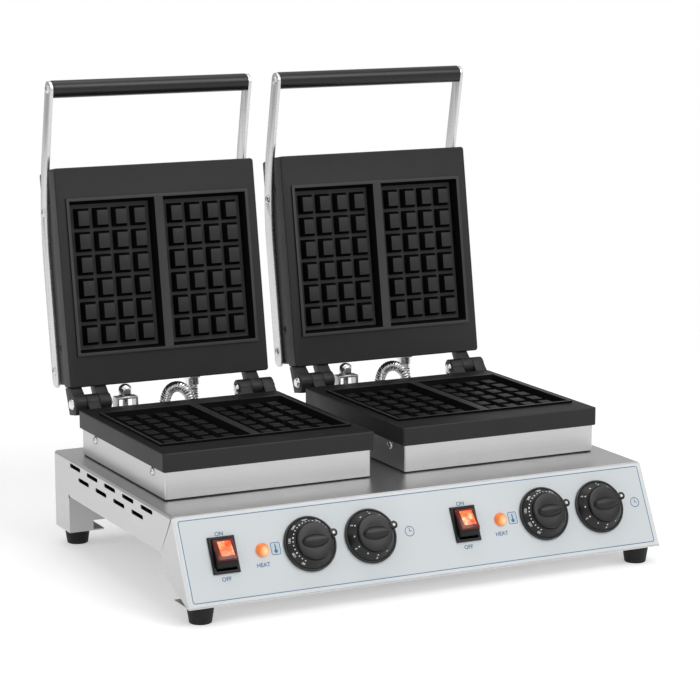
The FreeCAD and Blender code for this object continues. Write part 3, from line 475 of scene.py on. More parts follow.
film, start = new_finish("printed_film")
spot = start.node("ShaderNodeTexCoord", out="Object")
side_way = abs(start.node("ShaderNodeSeparateXYZ", {}, {"Vector": spot}, "X"))
height = start.node("ShaderNodeSeparateXYZ", {}, {"Vector": spot}, "Z")
over_line = height > TOP_Z - LINE_TOP * math.cos(slope)
under_line = height < TOP_Z - LINE_LOW * math.cos(slope)
margin = start.node("ShaderNodeMath", {"operation": "MAXIMUM"}, {0: side_way > LINE_HALF, 1: over_line})
margin = start.node("ShaderNodeMath", {"operation": "MAXIMUM"}, {0: margin, 1: under_line})
weave = start.noise(1500.0, 2.0)
cloud = start.noise(12.0, 2.0)
pale = start.colours(cloud, (0.67, 0.715, 0.735, 1), (0.73, 0.775, 0.8, 1))
start.surface({"Base Color": start.colours(margin, pale, (0.77, 0.805, 0.82, 1)),
               "Roughness": 0.36 + 0.08 * (cloud - NOISE_MEAN) + 0.05 * (weave - NOISE_MEAN),
               "Normal": start.bump(weave, 0.01 * MM, 0.3)})
finish_of["printed_overlay"] = film
PRINT = {"rough": 0.5, "grain": 900.0, "bump": 0.01 * MM}
ink_blue = grained("blue_ink", (0.055, 0.16, 0.3, 1), (0.075, 0.2, 0.36, 1), **PRINT)
ink_pale = grained("pale_blue_ink", (0.56, 0.67, 0.74, 1), (0.62, 0.73, 0.79, 1), **PRINT)
ink_white = grained("white_ink", grey(0.78), grey(0.9), **PRINT)
print("film and inks ready")

# %% [markdown]
# A flexible metal conduit loops from the base to each lid. Its line could be drawn point by point, but a NURBS
# curve with the CAD tube's route as its control points is smooth by itself, and its points are read from it.

# %% Conduit line
CONDUIT_ROUTE = ((19.5, 279.5, 113.0), (19.5, 279.5, 133.0), (11.7, 295.5, 143.3), (3.9, 311.5, 133.0),
                 (2.5, 315.5, 99.0), (20.0, 320.0, 88.5), (37.7, 323.5, 97.0), (37.7, 318.3, 117.9),
                 (37.7, 321.2, 135.6))
POINTS_PER_STEP = 44


def conduit_points(side):
    data = bpy.data.curves.new(side + "_conduit_line", "CURVE")
    data.dimensions = "3D"
    spline = data.splines.new("NURBS")
    spline.points.add(len(CONDUIT_ROUTE) - 1)
    for knot, (x, y, z) in zip(spline.points, CONDUIT_ROUTE):
        knot.co = (station[side] + x * MM, front_edge + y * MM, z * MM, 1.0)
    spline.order_u = 3
    spline.use_endpoint_u = True
    spline.resolution_u = POINTS_PER_STEP
    line = bpy.data.objects.new(side + "_conduit_line", data)
    bpy.context.scene.collection.objects.link(line)
    bpy.context.view_layer.update()
    mesh = bpy.data.meshes.new_from_object(line)
    spots = [v.co.copy() for v in mesh.vertices]
    bpy.data.objects.remove(line)
    bpy.data.meshes.remove(mesh)
    return spots


print("conduit route of", len(CONDUIT_ROUTE), "points")

# %% [markdown]
# The conduit's skin is corrugated steel. A bevelled curve has no ribs, so a circle is drawn out from point to
# point of the line, and its radius rises and falls with the length.

# %% Conduit skin
CONDUIT_WIDE = 5.5 * MM
CONDUIT_NARROW = 4.5 * MM
CONDUIT_SIDES = 20
RIB_PITCH = 2.4 * MM
conduit_metal, start = new_finish("corrugated_steel")
rub = start.noise(400.0, 4.0)
start.surface({"Base Color": start.colours(rub, grey(0.56), grey(0.8)), "Metallic": 1.0,
               "Roughness": 0.26 + 0.16 * (rub - NOISE_MEAN), "Normal": start.bump(rub, 0.02 * MM, 0.3)})
finish_of["conduit_steel"] = conduit_metal


def conduit_skin(spots):
    bm = bmesh.new()
    heading = (spots[1] - spots[0]).normalized()
    aimed = Matrix.Translation(spots[0]) @ heading.to_track_quat("Z", "Y").to_matrix().to_4x4()
    bmesh.ops.create_circle(bm, cap_ends=True, radius=CONDUIT_WIDE, segments=CONDUIT_SIDES, matrix=aimed)
    ring = bm.edges[:]
    travelled = 0.0
    size = CONDUIT_WIDE
    for here, there, after in zip(spots, spots[1:], spots[2:] + [spots[-1] * 2 - spots[-2]]):
        travelled += (there - here).length
        wave = 0.5 + 0.5 * math.cos(2 * math.pi * travelled / RIB_PITCH)
        radius = CONDUIT_NARROW + (CONDUIT_WIDE - CONDUIT_NARROW) * wave
        turned = (after - here).normalized()
        turn = heading.rotation_difference(turned).to_matrix().to_4x4()
        grown = bmesh.ops.extrude_edge_only(bm, edges=ring)["geom"]
        verts = [g for g in grown if isinstance(g, bmesh.types.BMVert)]
        ring = [g for g in grown if isinstance(g, bmesh.types.BMEdge) and all(v in verts for v in g.verts)]
        step = Matrix.Translation(there) @ turn @ Matrix.Scale(radius / size, 4) @ Matrix.Translation(-here)
        bmesh.ops.transform(bm, matrix=step, verts=verts)
        heading = turned
        size = radius
    bmesh.ops.contextual_create(bm, geom=ring)
    bmesh.ops.recalc_face_normals(bm, faces=bm.faces)
    return bm, travelled


for side in SIDES:
    spots = conduit_points(side)
    bm, length = conduit_skin(spots)
    conduit = add_piece(bm, side + "_corrugated_conduit", "base", [conduit_metal],
                        [side + "_conduit"], rides=False)
    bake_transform(conduit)
    print("conduit", side, round(length, 4), "m")

# %% [markdown]
# Real castings, bars and mouldings have no razor edges: a thin round catches the light along each of them.
# The CAD solids could be filleted one by one, but a copy whose sharp edges are bevelled does it for any node.
# The CAD mesh is loose triangles, so the copy is merged first and its flat faces are joined.

# %% Softened copies of CAD nodes
SHARP_TURN = math.radians(28.0)
FLAT_TURN = math.radians(0.6)
MERGE_REACH = 0.003 * MM
slot_of = {row["node"]: row["material_slot"] for row in frame["record"]["subparts"]}
body_of = {node: body for body, nodes in frame["record"]["behaviour"]["bodies"].items() for node in nodes}


def round_edges(bm, edges, width, steps, clamp=True):
    bmesh.ops.bevel(bm, geom=edges, offset=width, offset_type="OFFSET", segments=steps, profile=0.5,
                    affect="EDGES", material=-1, clamp_overlap=clamp)


def softened_mesh(node, width, steps):
    bm = bmesh.new()
    bm.from_mesh(frame["nodes"][node].data)
    bmesh.ops.remove_doubles(bm, verts=bm.verts, dist=MERGE_REACH)
    bmesh.ops.dissolve_limit(bm, angle_limit=FLAT_TURN, verts=bm.verts, edges=bm.edges)
    sharp = [e for e in bm.edges if len(e.link_faces) == 2 and e.calc_face_angle(0.0) > SHARP_TURN]
    round_edges(bm, sharp, width, steps)
    return bm


def soften(node, width, steps=2):
    bm = softened_mesh(node, width, steps)
    finish = bar_steel if node.endswith("arm") else finish_of[slot_of[node]]
    return add_piece(bm, node + "_soft", body_of[node], [finish], [node])


SOFT_EDGES = {"lid_left_arm": 0.4, "lid_right_arm": 0.4, "stop_bracket": 0.35, "stop_bolt": 0.5,
              "hinge_pins": 0.5, "base_gland": 0.5, "lid_gland": 0.5, "control_bezels": 0.35}
for side in SIDES:
    for part, width in SOFT_EDGES.items():
        soften(side + "_" + part, width * MM)
soften("rubber_feet", 0.9 * MM, 3)
soften("cable_gland", 0.6 * MM)

# %% [markdown]
# The waffle plates are softened in the same way, and then each face gets one of the four coats. An open lid is
# turned back in thought, so that level faces and walls are told apart in the same way on both plates. The rims
# of closed plates nearly meet at the height of the hinge, so that height tells a rim from a post.

# %% Waffle plates
OPEN_TURN = math.radians(-99.45)
RIM_HALF_X = 96.0 * MM
RIM_HALF_Y = 76.8 * MM
RIM_REACH = 1.0 * MM
PLATE_MIDDLE = 159.0 * MM
POCKET_FLOOR = 120.0 * MM
WALL_LEVEL = 0.6
OPEN_LEVEL = 0.9
PLATE_ROUND = 0.7 * MM
PLAIN, WALL_SHADE, DARK_REFLECTION, RIM_HIGHLIGHT = range(4)


def closed_place(side, lid):
    if not lid:
        return Matrix.Identity(4)
    pivot = joint_at[side + "_lid_hinge"]
    turn_back = Matrix.Rotation(-OPEN_TURN, 4, "X")
    return Matrix.Translation(pivot) @ turn_back @ Matrix.Translation(-pivot)


def sort_faces(bm, side, lid):
    place = closed_place(side, lid)
    turn = place.to_3x3()
    bm.normal_update()
    for face in bm.faces:
        spot = place @ face.calc_center_median()
        level = (turn @ face.normal).z
        inside = (abs(spot.x - station[side]) < RIM_HALF_X
                  and abs(spot.y - front_edge - PLATE_MIDDLE) < RIM_HALF_Y)
        at_rim = abs(spot.z - joint_at[side + "_lid_hinge"].z) < RIM_REACH
        # Walls inside the rim take the painted shade, the lids' rims the painted highlight, and the upward faces
        # of the lower plates the painted dark reflection.
        if inside and abs(level) < WALL_LEVEL:
            face.material_index = WALL_SHADE
        elif inside and at_rim and abs(level) > OPEN_LEVEL:
            face.material_index = RIM_HIGHLIGHT if lid else PLAIN
        elif not lid and level > OPEN_LEVEL and spot.z > POCKET_FLOOR:
            face.material_index = DARK_REFLECTION
        else:
            face.material_index = PLAIN


for side in SIDES:
    for name, lid in (("_lower_plate", False), ("_upper_plate", True)):
        node = side + name
        bm = softened_mesh(node, PLATE_ROUND, 2)
        sort_faces(bm, side, lid)
        add_piece(bm, node + "_soft", body_of[node], [casting, painted_wall_shade, painted_dark_reflection, painted_rim_highlight], [node])

# %% [markdown]
# Dials, lamp lenses and screw heads are all turned shapes. They could be stacked from cylinders and balls, but
# a profile spun about its axis gives all the steps and rounds at once. The open foot is closed, and the points
# that meet on the axis are merged.

# %% Turned shapes
SEAM_REACH = 0.01 * MM


def turned(profile, steps):
    """A closed shape about Z, from a profile of (radius, height) in millimetres."""
    bm = bmesh.new()
    verts = [bm.verts.new((r * MM, 0.0, h * MM)) for r, h in profile]
    edges = [bm.edges.new(pair) for pair in zip(verts, verts[1:])]
    bmesh.ops.spin(bm, geom=verts + edges, cent=(0, 0, 0), axis=(0, 0, 1), angle=2 * math.pi, steps=steps,
                   use_merge=True, dvec=(0, 0, 0))
    bmesh.ops.remove_doubles(bm, verts=bm.verts, dist=SEAM_REACH)
    bmesh.ops.contextual_create(bm, geom=[e for e in bm.edges if e.is_boundary])
    bmesh.ops.recalc_face_normals(bm, faces=bm.faces)
    return bm


def merge_into(target, source):
    mesh = bpy.data.meshes.new("merged")
    source.to_mesh(mesh)
    source.free()
    target.from_mesh(mesh)
    bpy.data.meshes.remove(mesh)


print("turned shapes close seams under", SEAM_REACH, "m")

# %% [markdown]
# Each dial is a black cone with white marks, and a round body with a finger ridge stands on it. The ridge could
# be a block, but a moulded grip has no straight side. So it starts as a disc that is flattened to a lens, drawn
# up, narrowed and rounded.

# %% Knob shape
DIAL_PROFILE = ((4.0, 1.3), (22.9, 1.3), (23.2, 1.6), (23.2, 2.8), (22.9, 3.2), (17.9, 10.6), (17.4, 10.95),
                (17.1, 10.9), (16.8, 10.2), (16.6, 10.2), (16.6, 13.2), (16.2, 13.8), (15.3, 14.0), (9.0, 13.6),
                (0.0, 13.4))
RIDGE_HALF_LENGTH = 13.2
RIDGE_HALF_WIDTH = 6.7
RIDGE_FOOT = 12.9 * MM
RIDGE_RISE = 4.9 * MM
RIDGE_TAPER = 0.5
RIDGE_SHORTEN = 0.86
RIDGE_ROUND = 1.5 * MM


def finger_ridge():
    bm = bmesh.new()
    bmesh.ops.create_circle(bm, cap_ends=True, radius=MM, segments=64)
    bmesh.ops.scale(bm, vec=(RIDGE_HALF_LENGTH, RIDGE_HALF_WIDTH, 1.0), verts=bm.verts)
    bmesh.ops.translate(bm, vec=(0, 0, RIDGE_FOOT), verts=bm.verts)
    grown = bmesh.ops.extrude_face_region(bm, geom=bm.faces[:])["geom"]
    top = [g for g in grown if isinstance(g, bmesh.types.BMVert)]
    bmesh.ops.translate(bm, vec=(0, 0, RIDGE_RISE), verts=top)
    bmesh.ops.scale(bm, vec=(RIDGE_SHORTEN, RIDGE_TAPER, 1.0), verts=top)
    bmesh.ops.recalc_face_normals(bm, faces=bm.faces)
    round_edges(bm, [e for e in bm.edges if all(v in top for v in e.verts)], RIDGE_ROUND, 4)
    return bm


def knob_shape():
    bm = turned(DIAL_PROFILE, 72)
    merge_into(bm, finger_ridge())
    return bm


print("dial profile of", len(DIAL_PROFILE), "points")

# %% [markdown]
# The fascia leans back, and every control stands square to it. Each could be turned by hand, but one function
# lays whatever is drawn flat on the slope, at a distance across the machine and down the fascia.

# %% Knobs in their places
def on_fascia(x, drop):
    """The place on the fascia for a shape drawn flat, outwards along +Z and uphill along +Y."""
    place = Matrix.Translation((x, front_edge - drop * math.sin(slope), TOP_Z - drop * math.cos(slope)))
    return place @ Matrix.Rotation(math.pi / 2 - slope, 4, "X")


def lay_on_fascia(bm, x, drop, lift=0.0):
    bmesh.ops.translate(bm, vec=(0, 0, lift), verts=bm.verts)
    bmesh.ops.transform(bm, matrix=on_fascia(x, drop), verts=bm.verts)


KNOBS = {"thermostat": 4.0 * MM, "timer": 64.0 * MM}
for side in SIDES:
    for kind, offset in KNOBS.items():
        node = side + "_" + kind + "_knob"
        bm = knob_shape()
        lay_on_fascia(bm, station[side] + offset, CONTROL_ROW)
        add_piece(bm, node + "_dial", side + "_" + kind, [finish_of["knob_black"]], [node])

# %% [markdown]
# Figures are printed on the dials, and words on the film. They could stay text objects, but a finished piece
# sits at the origin with its place in its mesh, so one helper makes the letters a mesh and then places them.

# %% Letters as meshes
BOLDER = 0.02


def text_mesh(words, size, thick):
    data = bpy.data.curves.new("words", "FONT")
    data.body = words
    data.size = size
    data.align_x = "CENTER"
    data.align_y = "CENTER"
    data.extrude = thick / 2
    data.offset = BOLDER * size
    made = bpy.data.objects.new("words", data)
    bpy.context.scene.collection.objects.link(made)
    bpy.context.view_layer.update()
    mesh = bpy.data.meshes.new_from_object(made)
    bpy.data.objects.remove(made)
    return mesh


def add_words(bm, words, size, thick, place):
    mesh = text_mesh(words, size, thick)
    mesh.transform(place)
    bm.from_mesh(mesh)
    bpy.data.meshes.remove(mesh)


print("letters are", BOLDER, "of their size bolder than the font")

# %% [markdown]
# White dots and figures run round each cone and turn with it. A printed picture could wrap the cone, but as
# small solid marks they stay sharp and export with the part.

# %% Marks on the dials
CONE_FOOT_RADIUS = 23.2
CONE_FOOT_HEIGHT = 3.0
CONE_RUN = 5.6
CONE_RISE = 8.0
CONE_LEAN = math.atan2(CONE_RISE, CONE_RUN)
MARK_THICK = 0.12 * MM
FIGURE_SIZE = 3.3 * MM
DOT_SHARE = 0.72
FIGURE_SHARE = 0.36
HEAT_DOTS = [(38 + 10.4 * k, 0.65 if k % 4 else 0.85) for k in range(20)]
HEAT_FIGURES = (("300", 62), ("250", 98), ("200", 134), ("150", 170), ("100", 206), ("50", 236))
TIME_DOTS = [(60 + 30 * k, 0.75) for k in range(9)]
TIME_FIGURES = (("1", 90), ("2", 150), ("3", 210), ("4", 270))
MARKS = {"thermostat": (HEAT_DOTS, HEAT_FIGURES), "timer": (TIME_DOTS, TIME_FIGURES)}


def on_cone(turn, share):
    """A place on the dial's cone: turn from the right, anticlockwise, and share of the way up."""
    radius = (CONE_FOOT_RADIUS - CONE_RUN * share) * MM
    height = (CONE_FOOT_HEIGHT + CONE_RISE * share) * MM
    stand = Matrix.Translation((0, radius, height)) @ Matrix.Rotation(-CONE_LEAN, 4, "X")
    return Matrix.Rotation(turn - math.pi / 2, 4, "Z") @ stand


def add_dot(bm, radius, thick, place):
    bmesh.ops.create_cone(bm, cap_ends=True, segments=14, radius1=radius, radius2=radius, depth=thick,
                          matrix=place)


def dial_marks(kind):
    bm = bmesh.new()
    dots, figures = MARKS[kind]
    for turn, size in dots:
        add_dot(bm, size * MM, MARK_THICK, on_cone(math.radians(turn), DOT_SHARE))
    for words, turn in figures:
        add_words(bm, words, FIGURE_SIZE, MARK_THICK, on_cone(math.radians(turn), FIGURE_SHARE))
    return bm


for side in SIDES:
    for kind, offset in KNOBS.items():
        bm = dial_marks(kind)
        lay_on_fascia(bm, station[side] + offset, CONTROL_ROW)
        add_piece(bm, side + "_" + kind + "_marks", side + "_" + kind, [ink_white])

# %% [markdown]
# Beside each dial stands a fixed ear with a white dot that the marks are read against. Its round cap is a
# short cylinder with rounded edges, clear of the dial by a hair. It could be one piece with the dial, but then
# it would turn with it, so cap and dot ride on the base.

# %% Index caps and dots
EAR_TURN = math.radians(15.7)
EAR_CIRCLE = 20.6 * MM
CAP_RADIUS = 3.7 * MM
CAP_LOW = 11.2 * MM
CAP_HIGH = 12.5 * MM
CAP_ROUND = 0.45 * MM
DOT_RADIUS = 1.35 * MM
DOT_THICK = 0.2 * MM


def ear_place(side, offset, height):
    local = Matrix.Translation((EAR_CIRCLE * math.cos(EAR_TURN), EAR_CIRCLE * math.sin(EAR_TURN), height))
    return on_fascia(station[side] + offset, CONTROL_ROW) @ local


for side in SIDES:
    caps = bmesh.new()
    dots = bmesh.new()
    for offset in KNOBS.values():
        bmesh.ops.create_cone(caps, cap_ends=True, segments=36, radius1=CAP_RADIUS, radius2=CAP_RADIUS,
                              depth=CAP_HIGH - CAP_LOW,
                              matrix=ear_place(side, offset, (CAP_LOW + CAP_HIGH) / 2))
        add_dot(dots, DOT_RADIUS, DOT_THICK, ear_place(side, offset, CAP_HIGH))
    rims = [e for e in caps.edges if e.calc_face_angle(0.0) > SHARP_TURN]
    round_edges(caps, rims, CAP_ROUND, 3, clamp=False)
    add_piece(caps, side + "_index_caps", "base", [finish_of["knob_black"]])
    add_piece(dots, side + "_index_dots", "base", [ink_white])

# %% [markdown]
# The rocker is a black paddle with a red lit lens let into its top. The paddle could be modelled anew, but only
# its edges need rounding, so it is a softened copy. The lens is a block with rounded edges in a darker red
# frame, tilted with the paddle.

# %% Rocker paddle and lens
ROCKER_X = -79.0 * MM
ROCKER_TILT = math.radians(-18.0)
PIVOT_DROP = -3.2 * MM
PADDLE_ROUND = 0.5 * MM
LENS_BLOCKS = (("lens_frame", (19.0, 21.4, 3.0), (0.0, 0.0, 6.9), 1.1, lens_frame),
               ("lens", (12.8, 15.2, 1.6), (0.5, 0.7, 8.1), 0.7, finish_of["rocker_red"]))


def rounded_block(size, middle, edge, steps):
    bm = bmesh.new()
    made = bmesh.ops.create_cube(bm, size=1.0)
    bmesh.ops.scale(bm, vec=size, verts=made["verts"])
    bmesh.ops.translate(bm, vec=middle, verts=made["verts"])
    round_edges(bm, bm.edges[:], edge, steps)
    return bm


for side in SIDES:
    node = side + "_rocker_paddle"
    bm = softened_mesh(node, PADDLE_ROUND, 3)
    add_piece(bm, node + "_soft", side + "_rocker", [finish_of["switch_black"]], [node])
    tilt = Matrix.Translation((0, 0, PIVOT_DROP)) @ Matrix.Rotation(ROCKER_TILT, 4, "X")
    tilt = on_fascia(station[side] + ROCKER_X, CONTROL_ROW) @ tilt @ Matrix.Translation((0, 0, -PIVOT_DROP))
    for name, size, up, edge, finish in LENS_BLOCKS:
        bm = rounded_block(Vector(size) * MM, Vector(up) * MM, edge * MM, 3)
        bmesh.ops.transform(bm, matrix=tilt, verts=bm.verts)
        add_piece(bm, side + "_rocker_" + name, side + "_rocker", [finish])

# %% [markdown]
# The pilot lens is a shallow dome with a neon lamp behind it. One side of it is brightest, partly from the neon's
# glow and partly from a painted highlight. A picture could be laid on it, but a value kept at each point will do:
# it falls with the distance from the brightest spot.

# %% Pilot lens
PILOT_X = -42.0 * MM
LENS_RADIUS = 6.05
LENS_FOOT = 0.45
LENS_BALL = 7.55
LENS_MIDDLE = -2.5
LENS_STEPS = 10
# The brightest spot of the dome: partly the neon's glow, partly a painted highlight.
NEON_AND_HIGHLIGHT = Vector((2.0, -2.3, 4.2)) * MM
GLOW_AND_HIGHLIGHT_REACH = 6.5 * MM


def lens_dome():
    arc = [math.asin(LENS_RADIUS / LENS_BALL) * k / LENS_STEPS for k in range(LENS_STEPS + 1)]
    profile = [(LENS_RADIUS, LENS_FOOT)]
    profile += [(LENS_BALL * math.sin(a), LENS_MIDDLE + LENS_BALL * math.cos(a)) for a in reversed(arc)]
    return turned(profile, 48)


for side in SIDES:
    bm = lens_dome()
    seat = on_fascia(station[side] + PILOT_X, CONTROL_ROW)
    bmesh.ops.transform(bm, matrix=seat, verts=bm.verts)
    dome = add_piece(bm, side + "_pilot_dome", "base", [pilot_glow])
    glow = dome.data.attributes.new("glow", "FLOAT", "POINT")
    for point, mark in zip(dome.data.vertices, glow.data):
        mark.value = max(1.0 - (point.co - seat @ NEON_AND_HIGHLIGHT).length / GLOW_AND_HIGHLIGHT_REACH, 0.0)

# %% [markdown]
# A thin blue line runs round the controls, and the film folds over the fascia's edge as a paler frame. Ink has
# hardly any height and could be painted on, but a paper-thin solid keeps its edge crisp at any zoom. A rounded
# rectangle is inset, its middle is taken out, and the ring is drawn up.

# %% Blue line and film edge
INK = 0.06 * MM
FILM = 0.4 * MM
LINE_WIDTH = 0.7 * MM
LINE_CORNER = 2.6 * MM
FASCIA_HALF = 239.85 * MM
FASCIA_TOP = 1.5 * MM
FASCIA_LOW = 82.53 * MM
FASCIA_CORNER = 1.0 * MM
FILM_EDGE = 1.42 * MM
EDGE_LIFT = 0.01 * MM


def outline_frame(size, corner, width, segments):
    bm = bmesh.new()
    bmesh.ops.create_grid(bm, x_segments=1, y_segments=1, size=0.5)
    bmesh.ops.scale(bm, vec=(size[0], size[1], 1.0), verts=bm.verts)
    bmesh.ops.bevel(bm, geom=bm.verts[:], offset=corner, offset_type="OFFSET", segments=segments, profile=0.5,
                    affect="VERTICES", material=-1)
    inner = bmesh.ops.inset_region(bm, faces=bm.faces[:], thickness=width, use_even_offset=True,
                                   use_boundary=True)
    ring = inner["faces"]
    middle = [f for f in bm.faces if f not in ring]
    bmesh.ops.delete(bm, geom=middle, context="FACES")
    grown = bmesh.ops.extrude_face_region(bm, geom=bm.faces[:])["geom"]
    bmesh.ops.translate(bm, vec=(0, 0, INK), verts=[g for g in grown if isinstance(g, bmesh.types.BMVert)])
    bmesh.ops.recalc_face_normals(bm, faces=bm.faces)
    return bm


bm = outline_frame((2 * LINE_HALF, LINE_LOW - LINE_TOP), LINE_CORNER, LINE_WIDTH, 8)
lay_on_fascia(bm, 0.0, (LINE_LOW + LINE_TOP) / 2, FILM)
add_piece(bm, "fascia_blue_line", "base", [ink_blue])
bm = outline_frame((2 * FASCIA_HALF, FASCIA_LOW - FASCIA_TOP), FASCIA_CORNER, FILM_EDGE, 4)
lay_on_fascia(bm, 0.0, (FASCIA_LOW + FASCIA_TOP) / 2, EDGE_LIFT)
add_piece(bm, "fascia_film_edge", "base", [film])

# %% [markdown]
# The film's print is the words ON, OFF and HEAT, a small thermometer in a box, and a clock. All of it could be
# one picture, but thin solid marks export with the part. The box and the clock's ring come from the same
# function as the blue line, and the clock's hands and the thermometer are thin blocks.

# %% Words and symbols
WORDS = (("ON", -79.4, 19.4), ("OFF", -80.2, 60.0), ("HEAT", -43.4, 51.8))
WORD_SIZE = 5.2 * MM
SYMBOL_X = -29.0 * MM
SYMBOL_BOX = (9.2 * MM, 11.4 * MM)
SYMBOL_CORNER = 1.6 * MM
SYMBOL_LINE = 0.6 * MM
SYMBOL_FIELD = Vector((8.4, 10.6, 0.06)) * MM
FIELD_ROUND = 0.02 * MM
BULB_DROP = -2.4 * MM
BULB_RADIUS = 1.7 * MM
CLOCK_X = 104.0 * MM
CLOCK_WIDE = 9.6 * MM
CLOCK_CORNER = 4.79 * MM
CLOCK_LINE = 0.7 * MM
BAR_ROUND = 0.03 * MM
BARS = (((0.7, 3.4, 0.12), CLOCK_X, 1.5 * MM), ((2.6, 0.7, 0.12), CLOCK_X + 1.1 * MM, 0.0),
        ((1.2, 5.4, 0.12), SYMBOL_X, 1.2 * MM))
on_film = Matrix.Translation((0, 0, FILM))
for side in SIDES:
    ink = bmesh.new()
    for words, x, drop in WORDS:
        place = on_fascia(station[side] + x * MM, drop * MM)
        add_words(ink, words, WORD_SIZE, 2 * INK, place @ on_film)
    symbol_x = station[side] + SYMBOL_X
    box_line = outline_frame(SYMBOL_BOX, SYMBOL_CORNER, SYMBOL_LINE, 5)
    lay_on_fascia(box_line, symbol_x, CONTROL_ROW, FILM)
    merge_into(ink, box_line)
    clock = outline_frame((CLOCK_WIDE, CLOCK_WIDE), CLOCK_CORNER, CLOCK_LINE, 10)
    lay_on_fascia(clock, station[side] + CLOCK_X, CONTROL_ROW, FILM)
    merge_into(ink, clock)
    for size, x, up in BARS:
        bar = rounded_block(Vector(size) * MM, Vector((0, up, FILM)), BAR_ROUND, 1)
        lay_on_fascia(bar, station[side] + x, CONTROL_ROW)
        merge_into(ink, bar)
    bulb = on_fascia(symbol_x, CONTROL_ROW) @ Matrix.Translation((0, BULB_DROP, FILM))
    add_dot(ink, BULB_RADIUS, 2 * INK, bulb)
    add_piece(ink, side + "_fascia_print", "base", [ink_blue])
    field = rounded_block(SYMBOL_FIELD, Vector((0, 0, FILM)), FIELD_ROUND, 1)
    lay_on_fascia(field, symbol_x, CONTROL_ROW)
    add_piece(field, side + "_symbol_field", "base", [ink_pale])

# %% [markdown]
# A black ring of painted shade shows as a dark line between each collar and the top, where the gap is in
# shade. It could be a dark stripe on the collar, but a flat ring is seen from all sides. It is made as the blue
# line is, and stretched to its height.

# %% Black rings of painted shade under the collars
SHADE_RING_SIZE = (203.2 * MM, 205.2 * MM)
SHADE_RING_CORNER = 2.0 * MM
SHADE_RING_WIDTH = 2.1 * MM
SHADE_RING_HEIGHT = 1.3 * MM
SHADE_RING_LIFT = 0.02 * MM
# Painted shade: a black ring fills the shaded gap under each collar.
for side in SIDES:
    bm = outline_frame(SHADE_RING_SIZE, SHADE_RING_CORNER, SHADE_RING_WIDTH, 4)
    bmesh.ops.scale(bm, vec=(1, 1, SHADE_RING_HEIGHT / INK), verts=bm.verts)
    seat = (station[side], front_edge + PLATE_MIDDLE, TOP_Z + SHADE_RING_LIFT)
    bmesh.ops.translate(bm, vec=seat, verts=bm.verts)
    add_piece(bm, side + "_collar_gasket", "base", [finish_of["foot_rubber"]])

# %% [markdown]
# Small pan-head screws hold the collars, covers and arms. A head is a turned shape. Its cross slot could be a
# dark mark, but its depth is what makes it read as a screw, so a Boolean cuts it with two crossed blocks. One
# head is made, and copies of it go to every spot.

# %% Pan-head screw
HEAD_PROFILE = ((0.0, 2.15), (1.2, 2.1), (2.5, 1.8), (3.4, 1.25), (3.9, 0.55), (4.0, 0.0))
SLOT_BLOCKS = ((4.4, 0.9, 2.4), (0.9, 4.4, 2.4))
SLOT_HEIGHT = 2.2 * MM


def screw_head():
    bm = turned(HEAD_PROFILE, 32)
    plain = bpy.data.meshes.new("head")
    bm.to_mesh(plain)
    bm.free()
    cross = bmesh.new()
    for size in SLOT_BLOCKS:
        made = bmesh.ops.create_cube(cross, size=1.0)
        bmesh.ops.scale(cross, vec=Vector(size) * MM, verts=made["verts"])
        bmesh.ops.translate(cross, vec=(0, 0, SLOT_HEIGHT), verts=made["verts"])
    cross_mesh = bpy.data.meshes.new("cross")
    cross.to_mesh(cross_mesh)
    cross.free()
    head = bpy.data.objects.new("head", plain)
    cutter = bpy.data.objects.new("cross", cross_mesh)
    for made in (head, cutter):
        bpy.context.scene.collection.objects.link(made)
    cut = head.modifiers.new("slot", "BOOLEAN")
    cut.object = cutter
    cut.operation = "DIFFERENCE"
    cut.use_self = True
    bpy.context.view_layer.update()
    mesh = bpy.data.meshes.new_from_object(head.evaluated_get(bpy.context.evaluated_depsgraph_get()))
    for made in (head, cutter):
        bpy.data.objects.remove(made)
    print("screw head", len(mesh.polygons), "faces")
    return mesh


head_mesh = screw_head()

# %% [markdown]
# The screws sit in rows on the collars, the covers and the arms. Their spots could be read off the CAD solids,
# but the rows follow from a few lengths of the drawing. The lids were drawn closed, so their screws are turned
# open.

# %% Screws in their places
HOUSING_HALF = 102.4
BOSS_ROWS = (85.0, 227.0)
COLLAR_SCREW_Z = 111.5
LID_SCREW_Z = 160.9
ARM_OUTER = 105.4
ARM_FOOT = (265.0, 138.5)
ARM_RISE = 41.0
ARM_LOW_SCREW = 16.0
ARM_STRAIGHT = 122.0
ARM_BEND = 290.0
ARM_REACH = 66.0
BEND_TURNS = ((9.7, 0.0), (21.0, ARM_REACH))
HEAD_TURN = 0.4


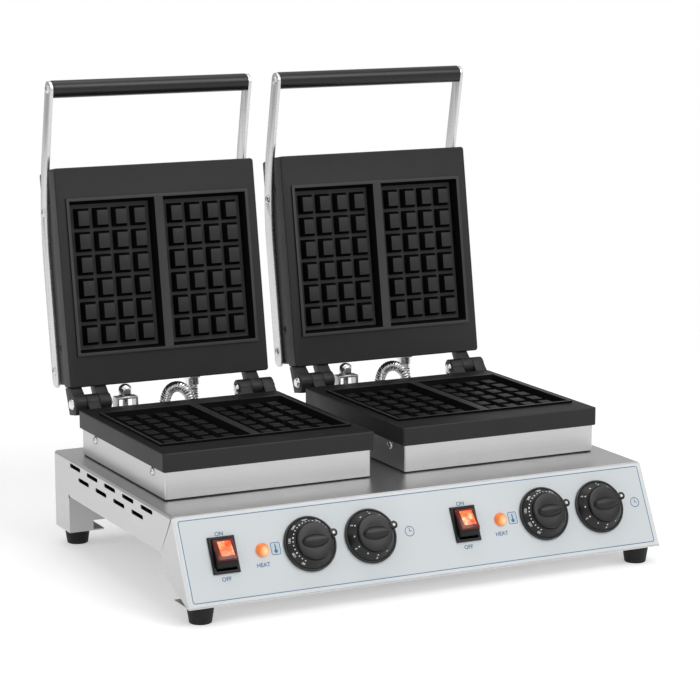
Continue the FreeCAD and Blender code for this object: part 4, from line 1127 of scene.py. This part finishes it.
def arm_spots():
    """Low, high and grip screws in the closed lid, as (y, z), along the arm's straight and its bend."""
    foot_y, foot_z = ARM_FOOT
    spots = [(foot_y - ARM_LOW_SCREW, foot_z + ARM_RISE)]
    for turn, extra in BEND_TURNS:
        angle = math.radians(turn)
        along = ARM_STRAIGHT + ARM_BEND * math.sin(angle) + extra * math.cos(angle)
        height = ARM_RISE - ARM_BEND + ARM_BEND * math.cos(angle) - extra * math.sin(angle)
        spots.append((foot_y - along, foot_z + height))
    return spots


def place_heads(bm, spots, move, finish=0):
    for x, y, z, way in spots:
        turn = Matrix.Rotation(way * math.pi / 2, 4, "Y") @ Matrix.Rotation(HEAD_TURN * (y + z), 4, "Z")
        copy = head_mesh.copy()
        copy.transform(move @ Matrix.Translation((x * MM, front_edge + y * MM, z * MM)) @ turn)
        copy.polygons.foreach_set("material_index", [finish] * len(copy.polygons))
        bm.from_mesh(copy)
        bpy.data.meshes.remove(copy)


for side in SIDES:
    shift = Matrix.Translation((station[side], 0, 0))
    pivot = Vector((0, joint_at[side + "_lid_hinge"].y, joint_at[side + "_lid_hinge"].z))
    turn_open = Matrix.Rotation(OPEN_TURN, 4, "X")
    opened = shift @ Matrix.Translation(pivot) @ turn_open @ Matrix.Translation(-pivot)
    bm = bmesh.new()
    place_heads(bm, [(w * HOUSING_HALF, y, COLLAR_SCREW_Z, w) for w in (-1, 1) for y in BOSS_ROWS], shift)
    add_piece(bm, side + "_collar_screw_heads", "base", [finish_of["zinc_fastener"]],
              [side + "_collar_screws"])
    bm = bmesh.new()
    place_heads(bm, [(w * ARM_OUTER, y, z, w) for w in (-1, 1) for y, z in arm_spots()], opened)
    place_heads(bm, [(w * HOUSING_HALF, y, LID_SCREW_Z, w) for w in (-1, 1) for y in BOSS_ROWS], opened, 1)
    add_piece(bm, side + "_lid_screw_heads", side + "_lid",
              [finish_of["zinc_fastener"], finish_of["black_nylon"]], [side + "_lid_screws"])

# %% [markdown]
# The CAD nodes that keep their own shape get the finish that the record names for them. Their slots are
# filled by name, so a node that is added later can't be forgotten.

# %% Finishes of the carried-over nodes
for name, node in frame["nodes"].items():
    node.data.materials.clear()
    node.data.materials.append(finish_of[slot_of[name]])
print("finishes set on", len(frame["nodes"]), "nodes")

# %% [markdown]
# Last, the view layer is brought up to date.

# %% Bring the scene up to date
bpy.context.view_layer.update()
